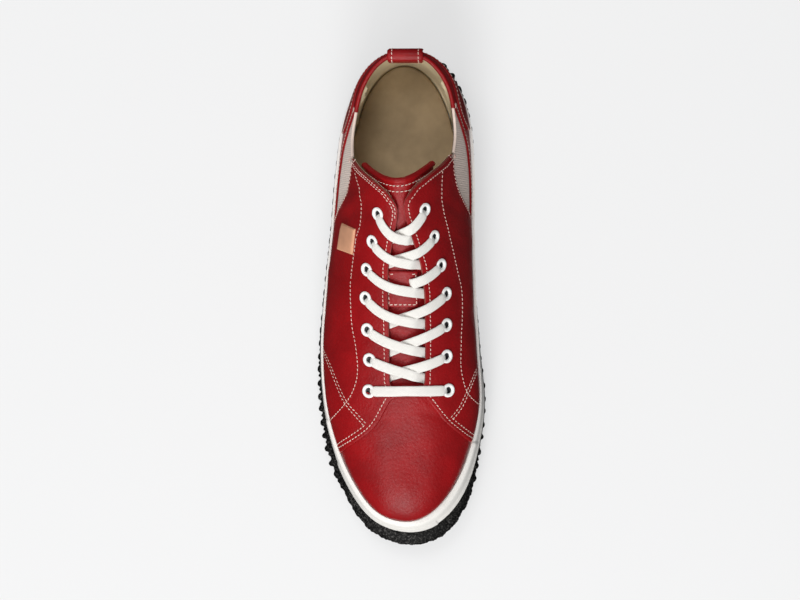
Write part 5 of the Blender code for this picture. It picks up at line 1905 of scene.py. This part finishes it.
class SNEAKER_OT_laces(bpy.types.Operator):
    """Laces the shoe: a straight bar at the toe end and six crossings"""

    bl_idname = "sneaker.laces"
    bl_label = "Laces"

    def execute(self, context):
        make_laces(context.scene.sneaker_lace)
        return {"FINISHED"}


class SNEAKER_OT_heel(bpy.types.Operator):
    """Builds the patch over the heel counter and the pull tab above it"""

    bl_idname = "sneaker.heel"
    bl_label = "Heel patch and pull tab"

    def execute(self, context):
        make_heel_patch(context.scene.sneaker_upper)
        make_pull_tab(context.scene.sneaker_upper)
        return {"FINISHED"}


class SNEAKER_OT_tag(bpy.types.Operator):
    """Builds the blank leather tag on the lateral side"""

    bl_idname = "sneaker.tag"
    bl_label = "Side tag"

    def execute(self, context):
        make_tag()
        return {"FINISHED"}


class SNEAKER_OT_foxing(bpy.types.Operator):
    """Builds the white foxing round the upper's foot"""

    bl_idname = "sneaker.foxing"
    bl_label = "Foxing"

    def execute(self, context):
        make_foxing()
        return {"FINISHED"}


class SNEAKER_OT_outsole(bpy.types.Operator):
    """Builds the black outsole with its toothed edge"""

    bl_idname = "sneaker.outsole"
    bl_label = "Outsole"

    def execute(self, context):
        make_outsole(context.scene.sneaker_sole)
        return {"FINISHED"}


class SNEAKER_OT_insole(bpy.types.Operator):
    """Lays the insole in the shoe"""

    bl_idname = "sneaker.insole"
    bl_label = "Insole"

    def execute(self, context):
        make_insole()
        return {"FINISHED"}


class SNEAKER_OT_stage(bpy.types.Operator):
    """Sets the pale floor, the soft lights and the camera"""

    bl_idname = "sneaker.stage"
    bl_label = "Stage"

    def execute(self, context):
        make_stage(context.scene.sneaker_stage)
        return {"FINISHED"}


OPERATORS = (
    SNEAKER_OT_finishes, SNEAKER_OT_stage, SNEAKER_OT_vamp, SNEAKER_OT_quarters, SNEAKER_OT_lining,
    SNEAKER_OT_edges, SNEAKER_OT_gores, SNEAKER_OT_seams, SNEAKER_OT_tongue, SNEAKER_OT_eyelets,
    SNEAKER_OT_laces, SNEAKER_OT_heel, SNEAKER_OT_tag, SNEAKER_OT_foxing, SNEAKER_OT_outsole,
    SNEAKER_OT_insole,
)
SETTINGS = {
    "sneaker_upper": SneakerUpper, "sneaker_lace": SneakerLace, "sneaker_sole": SneakerSole,
    "sneaker_stage": SneakerStage,
}


class SNEAKER_PT_panel(bpy.types.Panel):
    """Lists the shoe's settings and pieces in the sidebar"""

    bl_idname = "SNEAKER_PT_panel"
    bl_label = "Leather sneaker"
    bl_space_type = "VIEW_3D"
    bl_region_type = "UI"
    bl_category = "Sneaker"

    def draw(self, context):
        for name, group in SETTINGS.items():
            box = self.layout.box()
            for field in group.__annotations__:
                box.prop(getattr(context.scene, name), field)
        for operator in OPERATORS:
            self.layout.operator(operator.bl_idname)


def register():
    for group in SETTINGS.values():
        bpy.utils.register_class(group)
    for name, group in SETTINGS.items():
        setattr(bpy.types.Scene, name, PointerProperty(type=group))
    for operator in OPERATORS:
        bpy.utils.register_class(operator)
    bpy.utils.register_class(SNEAKER_PT_panel)


def unregister():
    bpy.utils.unregister_class(SNEAKER_PT_panel)
    for operator in reversed(OPERATORS):
        bpy.utils.unregister_class(operator)
    for name, group in SETTINGS.items():
        delattr(bpy.types.Scene, name)
        bpy.utils.unregister_class(group)


def main():
    register()
    for operator in OPERATORS:
        family, action = operator.bl_idname.split(".")
        getattr(getattr(bpy.ops, family), action)()


if __name__ == "__main__":
    main()
